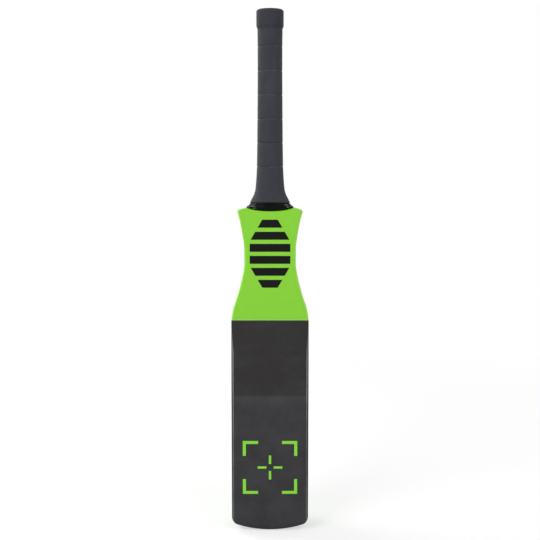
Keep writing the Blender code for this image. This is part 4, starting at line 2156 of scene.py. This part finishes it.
@dataclass
class Studio:
    """A pale floor, a white surround, soft lamps and the camera."""

    floor_side: float = 12.0
    floor_cells: int = 4
    floor_drop: float = 0.0002
    floor_white: Colour = srgb(240, 240, 240)
    camera_distance: float = 1.300
    camera_height: float = 0.5265
    camera_dip: float = 7.3
    lens: float = 63.0
    sensor: float = 36.0
    surround: float = 0.42
    white: Colour = (1.0, 1.0, 1.0, 1.0)
    glow: Span = (0.60, 1.0)
    shadow_span: Span = (0.45, 1.30)
    lamps: tuple[SoftBox, ...] = (
        SoftBox("key_soft_box", (-1.35, -1.45, 1.90), (1.3, 1.3), 34.0),
        SoftBox("fill_soft_box", (1.25, -1.50, 1.90), (1.3, 1.3), 20.0),
        SoftBox("back_left_soft_box", (-1.70, 0.95, 1.90), (1.3, 1.3), 34.0),
        SoftBox("back_right_soft_box", (1.60, 1.20, 1.90), (1.2, 1.2), 5.0),
        SoftBox("back_low_soft_box", (-1.20, 1.80, 0.70), (1.3, 1.1), 8.0),
    )

    @staticmethod
    def _seen(tree: bpy.types.NodeTree) -> Socket:
        """Where a surface is looked at, straight or in a reflection or through glass.

        Args:
            tree: the nodes of a material or of the world.

        Returns:
            1 for such rays, 0 for those that only carry light.
        """
        path = tree.nodes.new("ShaderNodeLightPath")
        socket = path.outputs["Is Camera Ray"]
        for name in ("Is Glossy Ray", "Is Transmission Ray"):
            either = tree.nodes.new("ShaderNodeMath")
            either.operation = "MAXIMUM"
            tree.links.new(socket, either.inputs[0])
            tree.links.new(path.outputs[name], either.inputs[1])
            socket = either.outputs[0]
        return socket

    def _floor(self) -> None:
        """Lay the floor, whose own white keeps the shadow of the bat."""
        bpy.ops.mesh.primitive_grid_add(
            x_subdivisions=self.floor_cells, y_subdivisions=self.floor_cells, size=self.floor_side,
            location=(0.0, 0.0, -self.floor_drop))
        floor = bpy.context.object
        floor.name = "studio_floor"
        bench = Bench("studio_white")
        tree = bench.tree
        matt = bench.add("ShaderNodeBsdfDiffuse")
        matt.inputs["Color"].default_value = self.floor_white
        away = bench.add("ShaderNodeVectorMath", operation="LENGTH")
        tree.links.new(bench.place, away.inputs[0])
        near = bench.ramp(away.outputs["Value"], self.shadow_span, self.glow)
        both = bench.add("ShaderNodeMixShader")
        tree.links.new(bench.times(self._seen(tree), near), both.inputs[0])
        tree.links.new(matt.outputs[0], both.inputs[1])
        tree.links.new(bench.add("ShaderNodeEmission").outputs[0], both.inputs[2])
        below = bench.add("ShaderNodeMixShader")
        tree.links.new(bench.add("ShaderNodeNewGeometry").outputs["Backfacing"], below.inputs[0])
        tree.links.new(both.outputs[0], below.inputs[1])
        tree.links.new(bench.add("ShaderNodeBsdfTransparent").outputs[0], below.inputs[2])
        tree.links.new(below.outputs[0], tree.nodes["Material Output"].inputs["Surface"])
        floor.data.materials.append(bench.material)

    def _surround(self) -> None:
        """Make the surround white where it is seen and softer as a light."""
        world = bpy.data.worlds.new("studio_surround")
        bpy.context.scene.world = world
        world.use_nodes = True
        tree = world.node_tree
        light = tree.nodes["Background"]
        light.inputs["Strength"].default_value = self.surround
        light.inputs["Color"].default_value = self.white
        white = tree.nodes.new("ShaderNodeBackground")
        white.inputs["Color"].default_value = self.white
        both = tree.nodes.new("ShaderNodeMixShader")
        tree.links.new(self._seen(tree), both.inputs[0])
        tree.links.new(light.outputs[0], both.inputs[1])
        tree.links.new(white.outputs[0], both.inputs[2])
        tree.links.new(both.outputs[0], tree.nodes["World Output"].inputs["Surface"])

    def _camera(self) -> None:
        """Set the camera up before the padded face, level with the middle of the handle."""
        lens = bpy.data.cameras.new("studio_camera")
        lens.lens = self.lens
        lens.sensor_width = self.sensor
        camera = bpy.data.objects.new("studio_camera", lens)
        camera.location = (0.0, -self.camera_distance, self.camera_height)
        camera.rotation_euler = (math.radians(90 - self.camera_dip), 0.0, 0.0)
        bpy.context.scene.collection.objects.link(camera)
        bpy.context.scene.camera = camera

    def build(self) -> None:
        """Set up the studio."""
        bpy.context.scene.view_settings.view_transform = "Standard"
        self._camera()
        self._floor()
        self._surround()
        for lamp in self.lamps:
            lamp.build()


def main() -> None:
    logging.basicConfig(level=logging.INFO, format="%(name)s: %(message)s")
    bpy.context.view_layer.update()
    Studio().build()
    blade_form, handle_form = BladeForm(), HandleForm()
    pad = FoamPad(blade_form)
    marks = Marks(blade_form, pad)
    black_ink = Ink("black_print", base=srgb(10, 11, 10), thin=srgb(24, 30, 20), roughness=0.28,
                    pore_depth=0.0).make()
    green_ink = Ink("green_print", base=srgb(124, 202, 56), thin=srgb(90, 156, 42), roughness=0.45,
                    pore_depth=0.00008).make()
    built = [
        Blade(blade_form, handle_form).build(GlossPaint().make()),
        pad.build(FoamSkin().make()),
        Grip(handle_form).build(GripRubber(RubberPattern.DIAMONDS).make()),
        Collar(handle_form).build(GripRubber(RubberPattern.FINE_PEBBLE).make()),
        NeckBand(blade_form, handle_form).build(NeckGloss().make()),
        marks.face_panel(black_ink),
        marks.back_panel(black_ink),
        marks.pad_sight(green_ink),
    ]
    for piece in built:
        log.info("%s: %d faces", piece.name, len(piece.data.polygons))
    log.info("finished solids: %s", ", ".join(HiddenParts().build()))


if __name__ == "__main__":
    main()
